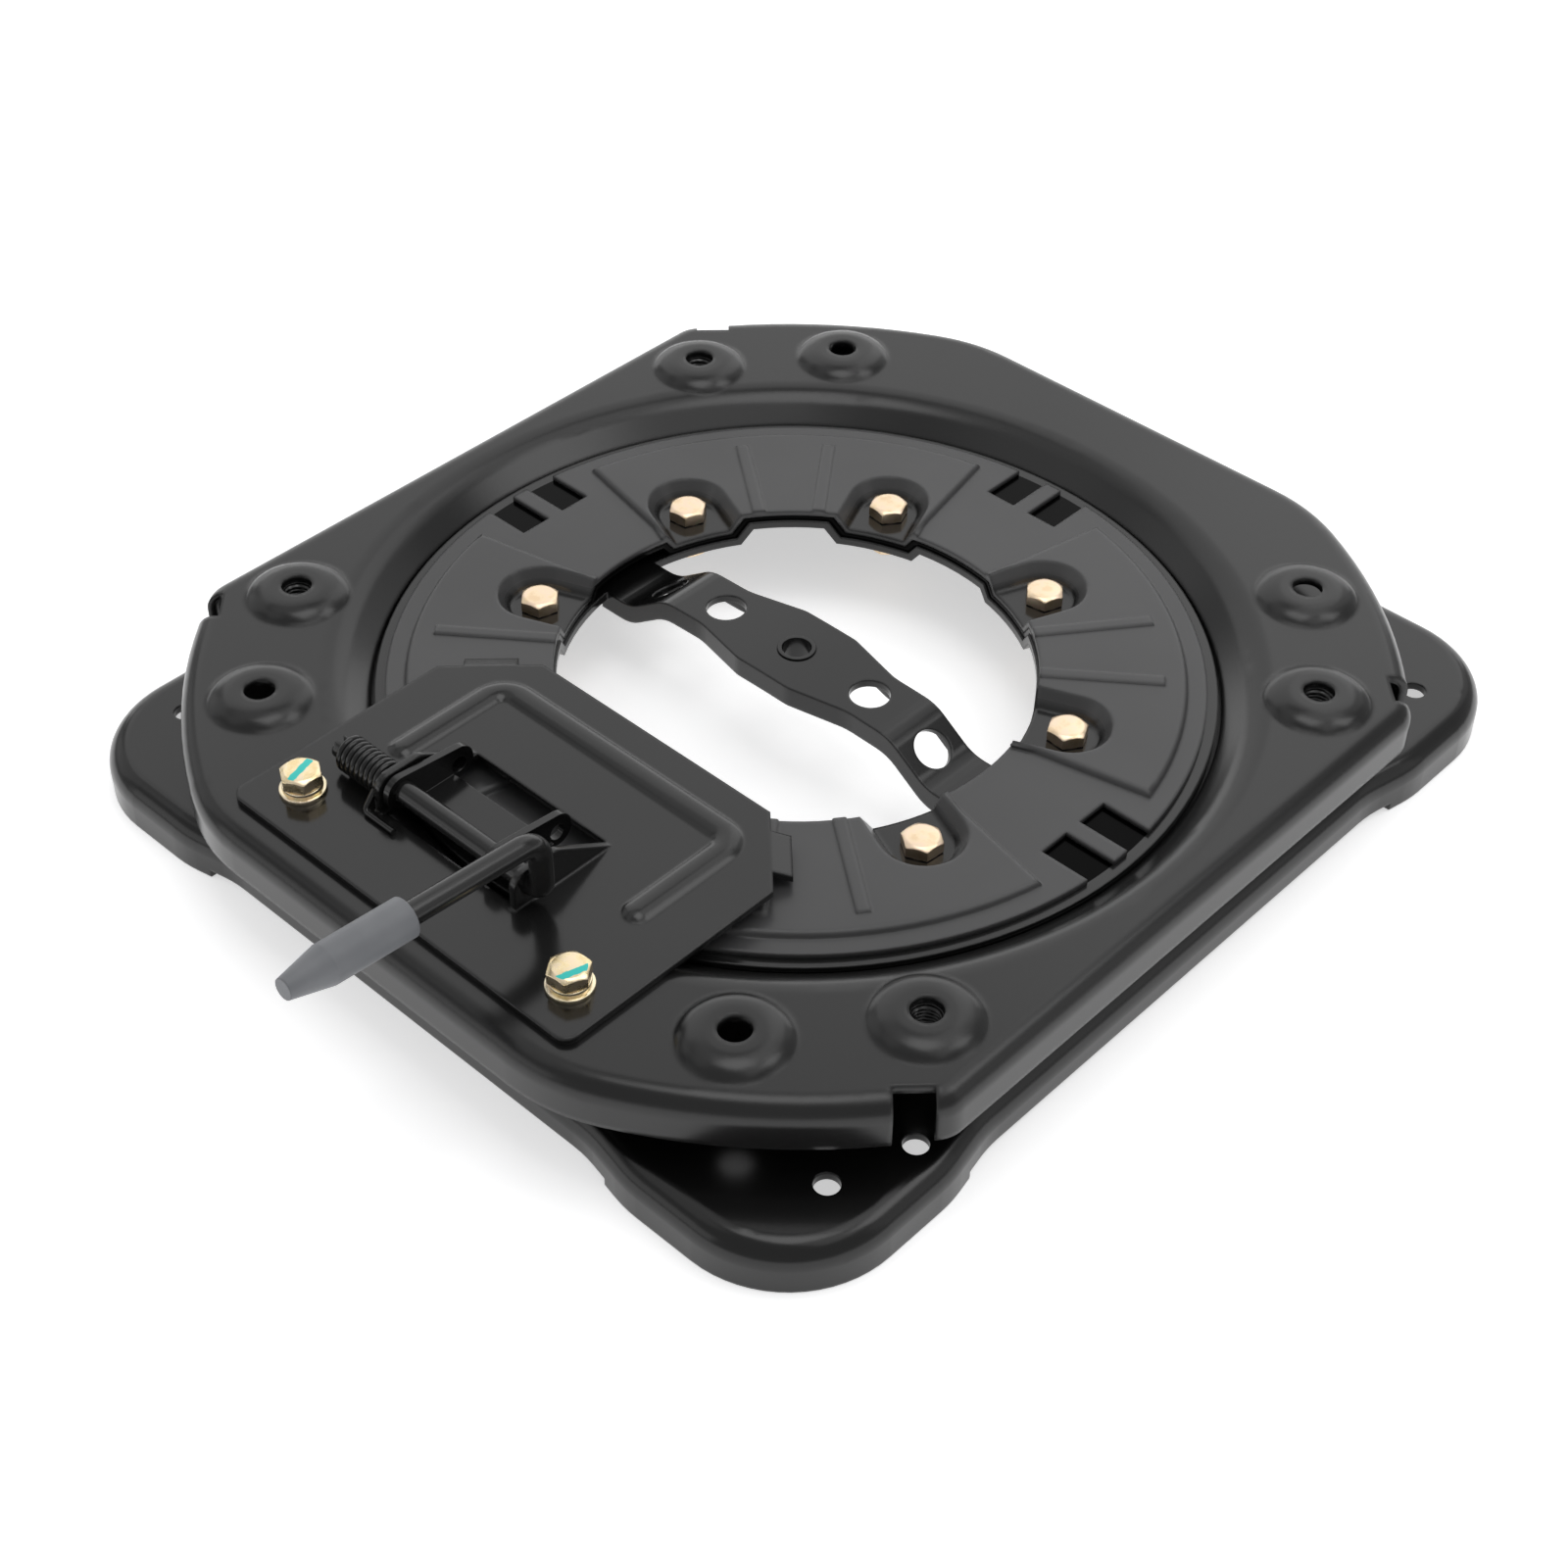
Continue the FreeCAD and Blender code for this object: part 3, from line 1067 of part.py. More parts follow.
def make_latch_plate():
    body = new_body("latch_sheet_body")
    plan = flat_sketch(body, "latch_plan", latch_under)
    cut = latch_chamfer
    trace(plan, [(-latch_half_x, -latch_front), (latch_half_x, -latch_front),
                 (latch_half_x, -latch_back - cut), (latch_half_x - cut, -latch_back),
                 (cut - latch_half_x, -latch_back), (-latch_half_x, -latch_back - cut)])
    trace(plan, [(-window_left, -window_front), (pivot_ear_inside, -window_front),
                 (pivot_ear_inside, -window_back), (-window_left, -window_back)])
    sheet_body = pad(body, plan, "latch_sheet", latch_gauge)
    rounded(body, sheet_body, "latch_corners", latch_gauge * 2,
            lambda e: upright(e) and abs(abs(e.CenterOfMass.y) - num(latch_front)) < 0.1)

    tab = upright_sketch(body, "tab_section", latch_half_x - cut / 2, -latch_back - cut / 2, 45)
    trace(tab, [(-latch_gauge, latch_top), (0, latch_top), (tab_reach, latch_top - tab_drop),
                (tab_reach, latch_under - tab_drop), (0, latch_under),
                (-latch_gauge, latch_under)])
    tab_made = pad(body, tab, "tab", tab_width, "Symmetric")
    mirrored(body, [tab_made], "tabs", ("YZ_Plane",))

    for side, x in (("left", -window_left - latch_gauge - ear_room),
                    ("right", pivot_ear_inside)):
        drawn = side_sketch(body, "pivot_ear_%s_side" % side, x)
        trace(drawn, [(-window_back, latch_under), (-window_back, latch_top),
                      (ear_slope_end - pivot_y, pivot_ear_top),
                      (-pivot_y - ear_fore, pivot_ear_top), (-pivot_y - ear_fore, latch_under)])
        ear = pad(body, drawn, "pivot_ear_" + side, latch_gauge)
        rounded(body, ear, "pivot_ear_%s_nose" % side, pivot_ear_top - pivot_z - ear_room * 2,
                lambda e: e.BoundBox.XLength > num(latch_gauge) - 0.1
                and e.BoundBox.YLength < 0.01 and e.BoundBox.ZLength < 0.01
                and abs(e.BoundBox.ZMax - num(pivot_ear_top)) < 0.01
                and abs(e.CenterOfMass.x - num(x) - num(latch_gauge) / 2) < 0.1)
        hole = side_sketch(body, "pivot_hole_%s_circle" % side, x - PAST)
        ring(hole, -pivot_y, pivot_z, rod_radius + pivot_room)
        bore = body.newObject("PartDesign::Pocket", "pivot_hole_" + side)
        bore.Profile = hole
        bore.Reversed = True
        bind(bore, "Length", latch_gauge + 2 * PAST)
        settle(body, bore)

    for side, x in (("left", -latch_bolt_x), ("right", latch_bolt_x)):
        solid(body, "SubtractiveCylinder", "latch_hole_" + side,
              (x, -latch_bolt_y, latch_under - PAST),
              Radius=bolt_size / 2 + shank_room, Height=latch_gauge + 2 * PAST)

    ridge = bead_form(latch_top)
    grooved = doc.addObject("Part::Cut", "latch_plate_grooved")
    grooved.Base = body
    grooved.Tool = plain_part("bead_groove", bead_form(latch_under))
    joined = doc.addObject("Part::MultiFuse", "latch_plate")
    joined.Shapes = [grooved, plain_part("bead_ridge", ridge)]
    joined.Refine = True
    doc.recompute()
    pieces.append(joined)


make_latch_plate()


# Latch bolts with their washers and weld nuts

def make_latch_fasteners():
    flat_top = latch_top + washer_gauge
    head_seat = flat_top + spring_washer_gauge
    bolts = new_body("latch_bolts")
    flats = new_body("latch_flat_washers")
    springs = new_body("latch_spring_washers")
    nuts = new_body("latch_weld_nuts")
    x, y = latch_bolt_x, -latch_bolt_y
    room = bolt_size / 2 + shank_room
    mirrored(bolts, bolt(bolts, "latch_bolt", x, y, head_seat, latch_bolt_length),
             "latch_bolt_pair", ("YZ_Plane",))
    for body, tag, outer, low, gauge in (
            (flats, "flat_washer", washer_outer, latch_top, washer_gauge),
            (springs, "spring_washer", spring_washer_outer, flat_top, spring_washer_gauge)):
        disc = solid(body, "AdditiveCylinder", tag, (x, y, low), Radius=outer / 2, Height=gauge)
        eye = solid(body, "SubtractiveCylinder", tag + "_eye", (x, y, low - PAST),
                    Radius=room, Height=gauge + 2 * PAST)
        mirrored(body, [disc, eye], tag + "_pair", ("YZ_Plane",))
    block = hexagon(nuts, "weld_nut", x, y, table_under - weld_nut_height, weld_nut_height,
                    head_flats)
    bore = solid(nuts, "SubtractiveCylinder", "weld_nut_bore",
                 (x, y, table_under - weld_nut_height - PAST),
                 Radius=bolt_size / 2 + pivot_room, Height=weld_nut_height + 2 * PAST)
    mirrored(nuts, [block, bore], "weld_nut_pair", ("YZ_Plane",))
    pieces.extend([bolts, flats, springs, nuts])


make_latch_fasteners()


# Lever: cranked rod, soft grip, pawl with two teeth, and coil spring

def swept(corners, radii, thickness):
    """Round bar along straight runs and tangent bends."""
    path = Part.Wire(soft_line(corners, radii))
    along = (corners[1] - corners[0]).normalize()
    section = Part.Wire([Part.Circle(corners[0], along, thickness / 2).toShape()])
    return path.makePipeShell([section], True, False)


def make_lever():
    pivot = Vector(0, -num(pivot_y), num(pivot_z))
    tip = pivot + Vector(-num(rod_tip_x), 0, 0)
    foot = pivot + Vector(num(crank_x), 0, 0)
    head = foot + Vector(0, 0, num(crank_height))
    slope = math.radians(num(lever_slope))
    outward = Vector(0, -math.cos(slope), math.sin(slope))
    grip_end = head + outward * (num(lever_length) / math.cos(slope))
    rod_end = grip_end - outward * (num(grip_cone) * 0.6)
    rod = swept([tip, foot, head, rod_end], [num(crank_round), num(lever_round)],
                num(rod_radius) * 2)
    slot_depth = num(rod_radius) * 1.4
    width = num(spring_wire + form_gap * 2)
    slot = Part.makeBox(slot_depth + PAST, width, num(rod_radius) * 4,
                        tip + Vector(-PAST, -width / 2, -num(rod_radius) * 2))
    rod_piece = plain_part("lever_rod", rod.cut(slot))
    pieces.append(rod_piece)

    grip_start = grip_end - outward * num(grip_length)
    barrel = num(grip_length) - num(grip_cone)
    grip = Part.makeCylinder(num(grip_radius), barrel, grip_start, outward)
    grip = grip.fuse(Part.makeCone(num(grip_radius), num(grip_tip_radius), num(grip_cone),
                                   grip_start + outward * barrel, outward)).removeSplitter()
    core = Part.makeCylinder(num(rod_radius), num(grip_length) - num(grip_cone) * 0.6,
                             grip_start, outward)
    pieces.append(plain_part("lever_grip", grip.cut(core)))


def make_pawl():
    body = new_body("locking_pawl")
    hole_y = ear_reach - pivot_y
    hole_z = pivot_z - ear_drop
    boss = rod_radius + pawl_gauge
    web_top = pivot_z - ear_nose
    for side, x in (("left", -pawl_left), ("right", pawl_right - pawl_gauge)):
        drawn = side_sketch(body, "pawl_ear_%s_side" % side, x)
        trace(drawn, [(-pivot_y - boss, pivot_z - boss), (hole_y + ear_nose, hole_z - ear_nose),
                      (hole_y + ear_nose, hole_z + ear_nose),
                      (-pivot_y - boss, pivot_z + boss)])
        plate = pad(body, drawn, "pawl_ear_" + side, pawl_gauge)
        rounded(body, plate, "pawl_ear_%s_ends" % side, ear_nose - 0.2,
                lambda e: e.BoundBox.YLength < 0.01 and e.BoundBox.ZLength < 0.01
                and abs(e.CenterOfMass.x - num(x) - num(pawl_gauge) / 2) < 0.1)
    tooth_x = slot_side - tooth_gap
    web = solid(body, "AdditiveBox", "pawl_web",
                (-pawl_left, -pivot_y + web_run, web_top - pawl_gauge),
                Length=pawl_left + tooth_x, Width=pivot_y - web_run - tooth_back, Height=pawl_gauge)
    tooth_low = ring_top + sector_rise + tooth_lift
    tooth = solid(body, "AdditiveBox", "tooth",
                  (tab_half + tooth_gap, -tooth_back - tooth_depth, tooth_low),
                  Length=tooth_x - tab_half - tooth_gap, Width=tooth_depth,
                  Height=web_top - tooth_low)
    mirrored(body, [tooth], "teeth", ("YZ_Plane",))
    for tag, y, z, radius in (("pawl_rod_hole", -pivot_y, pivot_z, rod_radius),
                              ("pawl_ear_hole", hole_y, hole_z, ear_hole / 2)):
        drawn = side_sketch(body, tag + "_circle", -pawl_left - PAST)
        ring(drawn, y, z, radius)
        bore = body.newObject("PartDesign::Pocket", tag)
        bore.Profile = drawn
        bore.Reversed = True
        bind(bore, "Length", pawl_left + pawl_right + 2 * PAST)
        settle(body, bore)
    pieces.append(body)


def make_spring():
    """Coils round the rod, one leg through its slotted tip, the other resting on the plate."""
    mean = num(spring_mean)
    pitch = num(spring_pitch)
    wire = num(spring_wire)
    length = pitch * num(spring_turns)
    axis_point = Vector(num(rod_radius) - num(rod_tip_x), -num(pivot_y), num(pivot_z))
    coil = Part.makeHelix(pitch, length, mean)
    coil.Placement = Placement(axis_point, Rotation(Vector(0, 1, 0), 90))
    coil = Part.Wire([edge.copy() for edge in coil.Edges])
    first = axis_point + Vector(0, 0, -mean)
    rise = math.atan2(pitch, 2 * math.pi * mean)
    along = Vector(math.sin(rise), math.cos(rise), 0)
    section = Part.Wire([Part.Circle(first, along, wire / 2).toShape()])
    coils = coil.makePipeShell([section], True, True)

    leg = Part.makeCylinder(wire / 2, mean + num(rod_radius) + wire / 2,
                            first - Vector(0, 0, wire / 2))
    last = axis_point + Vector(length, -mean, 0)
    rest = num(latch_top) + wire / 2 + num(slip_gap)
    foot = Vector(last.x, -num(spring_foot_y), rest)
    end = Vector(-num(spring_foot_x), -num(spring_foot_y), rest)
    slant = (foot - last).normalize()
    hook = swept([last - slant * (wire / 4), foot, end], [wire], wire)
    return coils.fuse([leg, hook])


make_lever()
make_pawl()
pieces.append(plain_part("torsion_spring", make_spring()))


# Every object has to stand before anything is written

doc.recompute()
for thing in doc.Objects:
    if "Invalid" in thing.State or "Error" in thing.State:
        raise RuntimeError("%s: %s" % (thing.Label, thing.State))
os.makedirs("parts", exist_ok=True)
for piece in pieces:
    shape = piece.Shape
    if shape.isNull() or not shape.isValid():
        raise RuntimeError("%s has no sound shape" % piece.Label)
    shape.exportStep("parts/%s.step" % piece.Label)
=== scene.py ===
import math

import bmesh
import bpy
from mathutils import Matrix, Vector


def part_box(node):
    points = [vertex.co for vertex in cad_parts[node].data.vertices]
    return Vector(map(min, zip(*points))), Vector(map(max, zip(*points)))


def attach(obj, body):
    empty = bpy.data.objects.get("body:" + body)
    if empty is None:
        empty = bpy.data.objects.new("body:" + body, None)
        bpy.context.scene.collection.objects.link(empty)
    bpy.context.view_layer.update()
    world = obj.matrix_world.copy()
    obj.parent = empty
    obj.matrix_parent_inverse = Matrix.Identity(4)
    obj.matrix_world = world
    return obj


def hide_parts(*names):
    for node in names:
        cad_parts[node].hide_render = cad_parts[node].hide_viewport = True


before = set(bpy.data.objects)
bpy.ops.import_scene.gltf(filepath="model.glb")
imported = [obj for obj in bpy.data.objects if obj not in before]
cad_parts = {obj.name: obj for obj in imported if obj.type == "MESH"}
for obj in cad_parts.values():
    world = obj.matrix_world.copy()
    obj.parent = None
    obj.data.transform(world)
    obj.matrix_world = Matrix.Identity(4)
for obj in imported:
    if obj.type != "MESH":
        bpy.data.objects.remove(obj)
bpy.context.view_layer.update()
scene = bpy.context.scene
MM = 0.001


# Node sums written as plain expressions

class Value:
    """A node socket that adds its own Math nodes when it is reckoned with."""

    def __init__(self, maker, socket):
        self.maker = maker
        self.socket = socket

    def _math(self, operation, *others):
        return self.maker.node("ShaderNodeMath", {"operation": operation},
                               {i: v for i, v in enumerate((self,) + others)})

    def _turned(self, operation, other):
        return self.maker.node("ShaderNodeMath", {"operation": operation}, {0: other, 1: self})

    def __add__(self, other):
        return self._math("ADD", other)

    __radd__ = __add__

    def __sub__(self, other):
        return self._math("SUBTRACT", other)

    def __rsub__(self, other):
        return self._turned("SUBTRACT", other)

    def __mul__(self, other):
        return self._math("MULTIPLY", other)

    __rmul__ = __mul__

    def __truediv__(self, other):
        return self._math("DIVIDE", other)

    def __rtruediv__(self, other):
        return self._turned("DIVIDE", other)

    def __mod__(self, other):
        return self._math("FLOORED_MODULO", other)

    def __abs__(self):
        return self._math("ABSOLUTE")

    def below(self, limit):
        return self._math("LESS_THAN", limit)

    def above(self, limit):
        return self._math("GREATER_THAN", limit)

    def least(self, other):
        return self._math("MINIMUM", other)

    def most(self, other):
        return self._math("MAXIMUM", other)

    def whole(self):
        return self._math("FLOOR")

    def angle_to(self, along):
        return self._math("ARCTAN2", along)

    def to_and_fro(self, reach):
        return self._math("PINGPONG", reach)

    def sine(self):
        return self._math("SINE")

    def cosine(self):
        return self._math("COSINE")


class Workbench:
    """Nodes under construction in one node tree."""

    def node(self, kind, settings=None, values=None, out=0):
        """Adds a node: its settings first, then the values or links of its sockets."""
        made = self.tree.nodes.new(kind)
        for field, setting in (settings or {}).items():
            if field == "stops":
                ramp = made.color_ramp
                while len(ramp.elements) < len(setting):
                    ramp.elements.new(0.5)
                for element, (place, colour) in zip(ramp.elements, setting):
                    element.position = place
                    element.color = (*colour, 1.0)
            else:
                setattr(made, field, setting)
        for key, value in (values or {}).items():
            if isinstance(value, Value):
                self.tree.links.new(value.socket, made.inputs[key])
            else:
                made.inputs[key].default_value = value
        return Value(self, made.outputs[out])

    def parts_of(self, vector):
        """The three numbers of a vector."""
        split = self.node("ShaderNodeSeparateXYZ", None, {0: vector})
        return tuple(Value(self, socket) for socket in split.socket.node.outputs)


class Finish(Workbench):
    """A material under construction."""

    def __init__(self, name):
        self.material = bpy.data.materials.new(name)
        self.material.use_nodes = True
        self.tree = self.material.node_tree
        self.tree.nodes.clear()
        self.output = self.tree.nodes.new("ShaderNodeOutputMaterial")

    def place(self):
        """Where on the piece a point is, in Object coordinates."""
        return self.node("ShaderNodeTexCoord", out="Object")

    def axes(self):
        return self.parts_of(self.place())

    def noise(self, scale, detail=2.0, rough=0.5):
        return self.node("ShaderNodeTexNoise", None,
                         {"Vector": self.place(), "Scale": scale, "Detail": detail,
                          "Roughness": rough})

    def blend(self, factor, first, second):
        """Mixes two colours."""
        return self.node("ShaderNodeMix", {"data_type": "RGBA"},
                         {0: factor, 6: first, 7: second}, out=2)

    def span(self, value, low, high, to_low=0.0, to_high=1.0):
        """Maps the run low to high on to another run, and stops at its ends."""
        return self.node("ShaderNodeMapRange", None,
                         {0: value, 1: low, 2: high, 3: to_low, 4: to_high})

    def edge(self, radius):
        """A normal that rounds the sharp edges off, by a radius in metres."""
        return self.node("ShaderNodeBevel", {"samples": 6}, {"Radius": radius})

    def bump(self, height, depth, strength, normal=None):
        """Fine relief of a depth in metres, on top of another normal if there is one."""
        values = {"Height": height, "Distance": depth, "Strength": strength}
        if normal is not None:
            values["Normal"] = normal
        return self.node("ShaderNodeBump", None, values)

    def surface(self, **sockets):
        """Ends the material with one shader, its sockets named with _ for spaces."""
        shader = self.node("ShaderNodeBsdfPrincipled", None,
                           {k.replace("_", " "): v for k, v in sockets.items()})
        self.tree.links.new(shader.socket, self.output.inputs["Surface"])
        return self.material


def colour(red, green, blue):
    return (red, green, blue, 1.0)


# Finishes

SEAT_RIM = 38.2        # level where the pressed seats of the upper disc begin, mm
SEAT_FADE = 2.2        # depth over which their bottoms grow darker and glossier, mm
SEAT_BOTTOM_ROUGHNESS = 0.13
SEAT_BOTTOM_BLACK = colour(0.010, 0.010, 0.010)
SLOT_FLOOR_RADIUS = 144.6      # the upper disc lies over the lower one up to here, mm
# Painted shade for the floors of the latch slots, standing in for their depth.
SLOT_PAINTED_SHADE = colour(0.003, 0.003, 0.003)


def black_paint(name, base, rough, soft_edge, dark_glossy_seats=False, painted_slot_shade=False):
    """Satin black coat over pressed steel, its edges softened by the coat.

    With the seat switch, the bottoms of the pressed seats are darker and glossier. With the slot
    switch, the face that forms the floor of the latch slots is painted near black, a painted shade
    that stands in for depth: the photograph shows deep notches there, and the solids end one sheet
    down."""
    f = Finish(name)
    drift = f.noise(9.0, 3.0, 0.55)
    peel = f.noise(2600.0, 2.0, 0.6)
    tint = f.blend(f.span(drift, 0.35, 0.65), colour(*[c * 0.85 for c in base]),
                   colour(*[c * 1.18 for c in base]))
    dull = f.span(drift, 0.3, 0.7, rough - 0.025, rough + 0.035)
    slot_shade_metallic = 0.0
    if dark_glossy_seats:
        # Darker and glossier towards the bottoms of the pressed seats, below the seat rim.
        _, _, z = f.axes()
        seat_bottom = f.span(z, (SEAT_RIM - SEAT_FADE) * MM, SEAT_RIM * MM, 1.0, 0.0)
        tint = f.blend(seat_bottom, tint, SEAT_BOTTOM_BLACK)
        dull = dull - seat_bottom * (rough - SEAT_BOTTOM_ROUGHNESS)
    # Painted shade: inside this radius the lower disc is painted near black and metallic, so the
    # slot floors seen through the upper disc look as dark as deep notches.
    if painted_slot_shade:
        x, y, _ = f.axes()
        slot_shade_metallic = (x * x + y * y).below((SLOT_FLOOR_RADIUS * MM) ** 2)
        tint = f.blend(slot_shade_metallic, tint, SLOT_PAINTED_SHADE)
    return f.surface(Base_Color=tint, Roughness=dull, Metallic=slot_shade_metallic, Specular_IOR_Level=0.5,
                     Normal=f.bump(peel, 0.000012, 0.5, f.edge(soft_edge)), Coat_Weight=0.0)


paint_base = black_paint("paint_base", (0.004, 0.004, 0.004), 0.18, 0.0012)
paint_plate = black_paint("paint_plate", (0.008, 0.008, 0.008), 0.20, 0.0026)
paint_disc = black_paint("paint_disc", (0.048, 0.048, 0.049), 0.30, 0.0020, dark_glossy_seats=True)
# Paint of the lower disc, with painted shade on the floors of the latch slots.
paint_rim_with_slot_shade = black_paint("paint_rim_with_slot_shade", (0.010, 0.010, 0.010), 0.17, 0.0012, painted_slot_shade=True)
paint_latch = black_paint("paint_latch", (0.010, 0.010, 0.010), 0.15, 0.0016)
paint_small = black_paint("paint_small", (0.006, 0.006, 0.006), 0.17, 0.0004)


STRIPE_HALF_WIDTH = 0.00125
STRIPE_HALF_LENGTH = 0.0058
STRIPE_TEAL = colour(0.030, 0.640, 0.580)
LATCH_BOLT_TOP = 57.4
CLOUD_STEPS = (0.34, 0.48, 0.60, 0.72)


def zinc(name, tones, rough, stripes=()):
    """Yellow passivated zinc, cloudy in four tones.

    Each stripe of fitter's paint is (centre of the bolt, direction, offset to the side), in
    millimetres, and lies on the top of the head alone."""
    f = Finish(name)
    cloud = f.noise(230.0, 3.0, 0.6)
    tone = f.node("ShaderNodeValToRGB", {"stops": list(zip(CLOUD_STEPS, tones))}, {"Fac": cloud})
    grain = f.noise(1500.0, 2.0, 0.5)
    dull = f.span(cloud, 0.3, 0.7, rough - 0.05, rough + 0.06)
    bare = 1.0
    if stripes:
        x, y, z = f.axes()
        ragged = f.noise(500.0, 1.0, 0.5) * 0.0011 - 0.00055
        on_top = z.above((LATCH_BOLT_TOP - 0.2) * MM)
        painted = 0.0
        for (middle_x, middle_y), (run_x, run_y), aside in stripes:
            out_x, out_y = x - middle_x * MM, y - middle_y * MM
            across = abs(out_x * run_y - out_y * run_x - aside * MM) + ragged
            along = abs(out_x * run_x + out_y * run_y) + ragged
            painted = (across.below(STRIPE_HALF_WIDTH) * along.below(STRIPE_HALF_LENGTH) * on_top
                       + painted)
        tone = f.blend(painted, tone, STRIPE_TEAL)
        dull = dull + painted * 0.1
        bare = 1.0 - painted
    return f.surface(Base_Color=tone, Roughness=dull, Metallic=bare,
                     Normal=f.bump(grain, 0.00001, 0.4, f.edge(0.0004)))


def grip_rubber():
    """Grey moulded plastic with a fine matt grain."""
    f = Finish("grip_rubber")
    grain = f.noise(1900.0, 3.0, 0.6)
    cloud = f.noise(60.0, 2.0, 0.5)
    tint = f.blend(f.span(cloud, 0.3, 0.7), colour(0.150, 0.156, 0.168),
                   colour(0.178, 0.184, 0.196))
    return f.surface(Base_Color=tint, Roughness=f.span(grain, 0.3, 0.7, 0.42, 0.54),
                     Normal=f.bump(grain, 0.00003, 0.5, f.edge(0.0008)))


def glide_plastic():
    """Dark plastic of the hidden glide rings."""
    f = Finish("glide_plastic")
    grain = f.noise(900.0, 2.0, 0.5)
    tint = f.blend(grain, colour(0.03, 0.03, 0.03), colour(0.05, 0.05, 0.05))
    return f.surface(Base_Color=tint, Roughness=0.5, Normal=f.bump(grain, 0.00002, 0.3))


zinc_ring = zinc("zinc_ring", ((0.84, 0.64, 0.42), (0.92, 0.74, 0.52), (0.94, 0.73, 0.56),
                               (0.84, 0.76, 0.52)), 0.33)
zinc_latch = zinc("zinc_latch", ((0.86, 0.68, 0.38), (0.93, 0.78, 0.50), (0.95, 0.78, 0.56),
                                 (0.84, 0.80, 0.55)), 0.27,
                  (((-64.0, -169.5), (-0.290, 0.957), 0.0),
                   ((64.0, -169.5), (0.290, 0.957), 3.2)))
zinc_washer = zinc("zinc_washer", ((0.84, 0.72, 0.46), (0.93, 0.82, 0.58), (0.95, 0.80, 0.60),
                                   (0.84, 0.82, 0.62)), 0.22)
grip_finish = grip_rubber()
glide_finish = glide_plastic()

worn_by = {
    "base_plate": paint_base, "turntable_plate": paint_plate, "bridge_bush": paint_small,
    "ring_disc_lower": paint_rim_with_slot_shade, "ring_disc_upper": paint_disc,
    "ring_bolts": zinc_ring, "ring_nuts": zinc_ring,
    "glide_ring_lower": glide_finish, "glide_ring_upper": glide_finish,
    "seat_weld_nuts": paint_small, "latch_plate": paint_latch, "latch_bolts": zinc_latch,
    "latch_spring_washers": zinc_washer, "latch_flat_washers": zinc_washer,
    "latch_weld_nuts": paint_small, "lever_rod": paint_latch, "lever_grip": grip_finish,
    "locking_pawl": paint_small, "torsion_spring": paint_small,
}
for node, material in worn_by.items():
    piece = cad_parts[node]
    piece.data.materials.clear()
    piece.data.materials.append(material)


# Fasteners, turned from a row of profile points and set out in their places

THREAD_BAND = 0.00002      # profile points this near the thread's radius carry the thread
RANDOM_SEED = 7


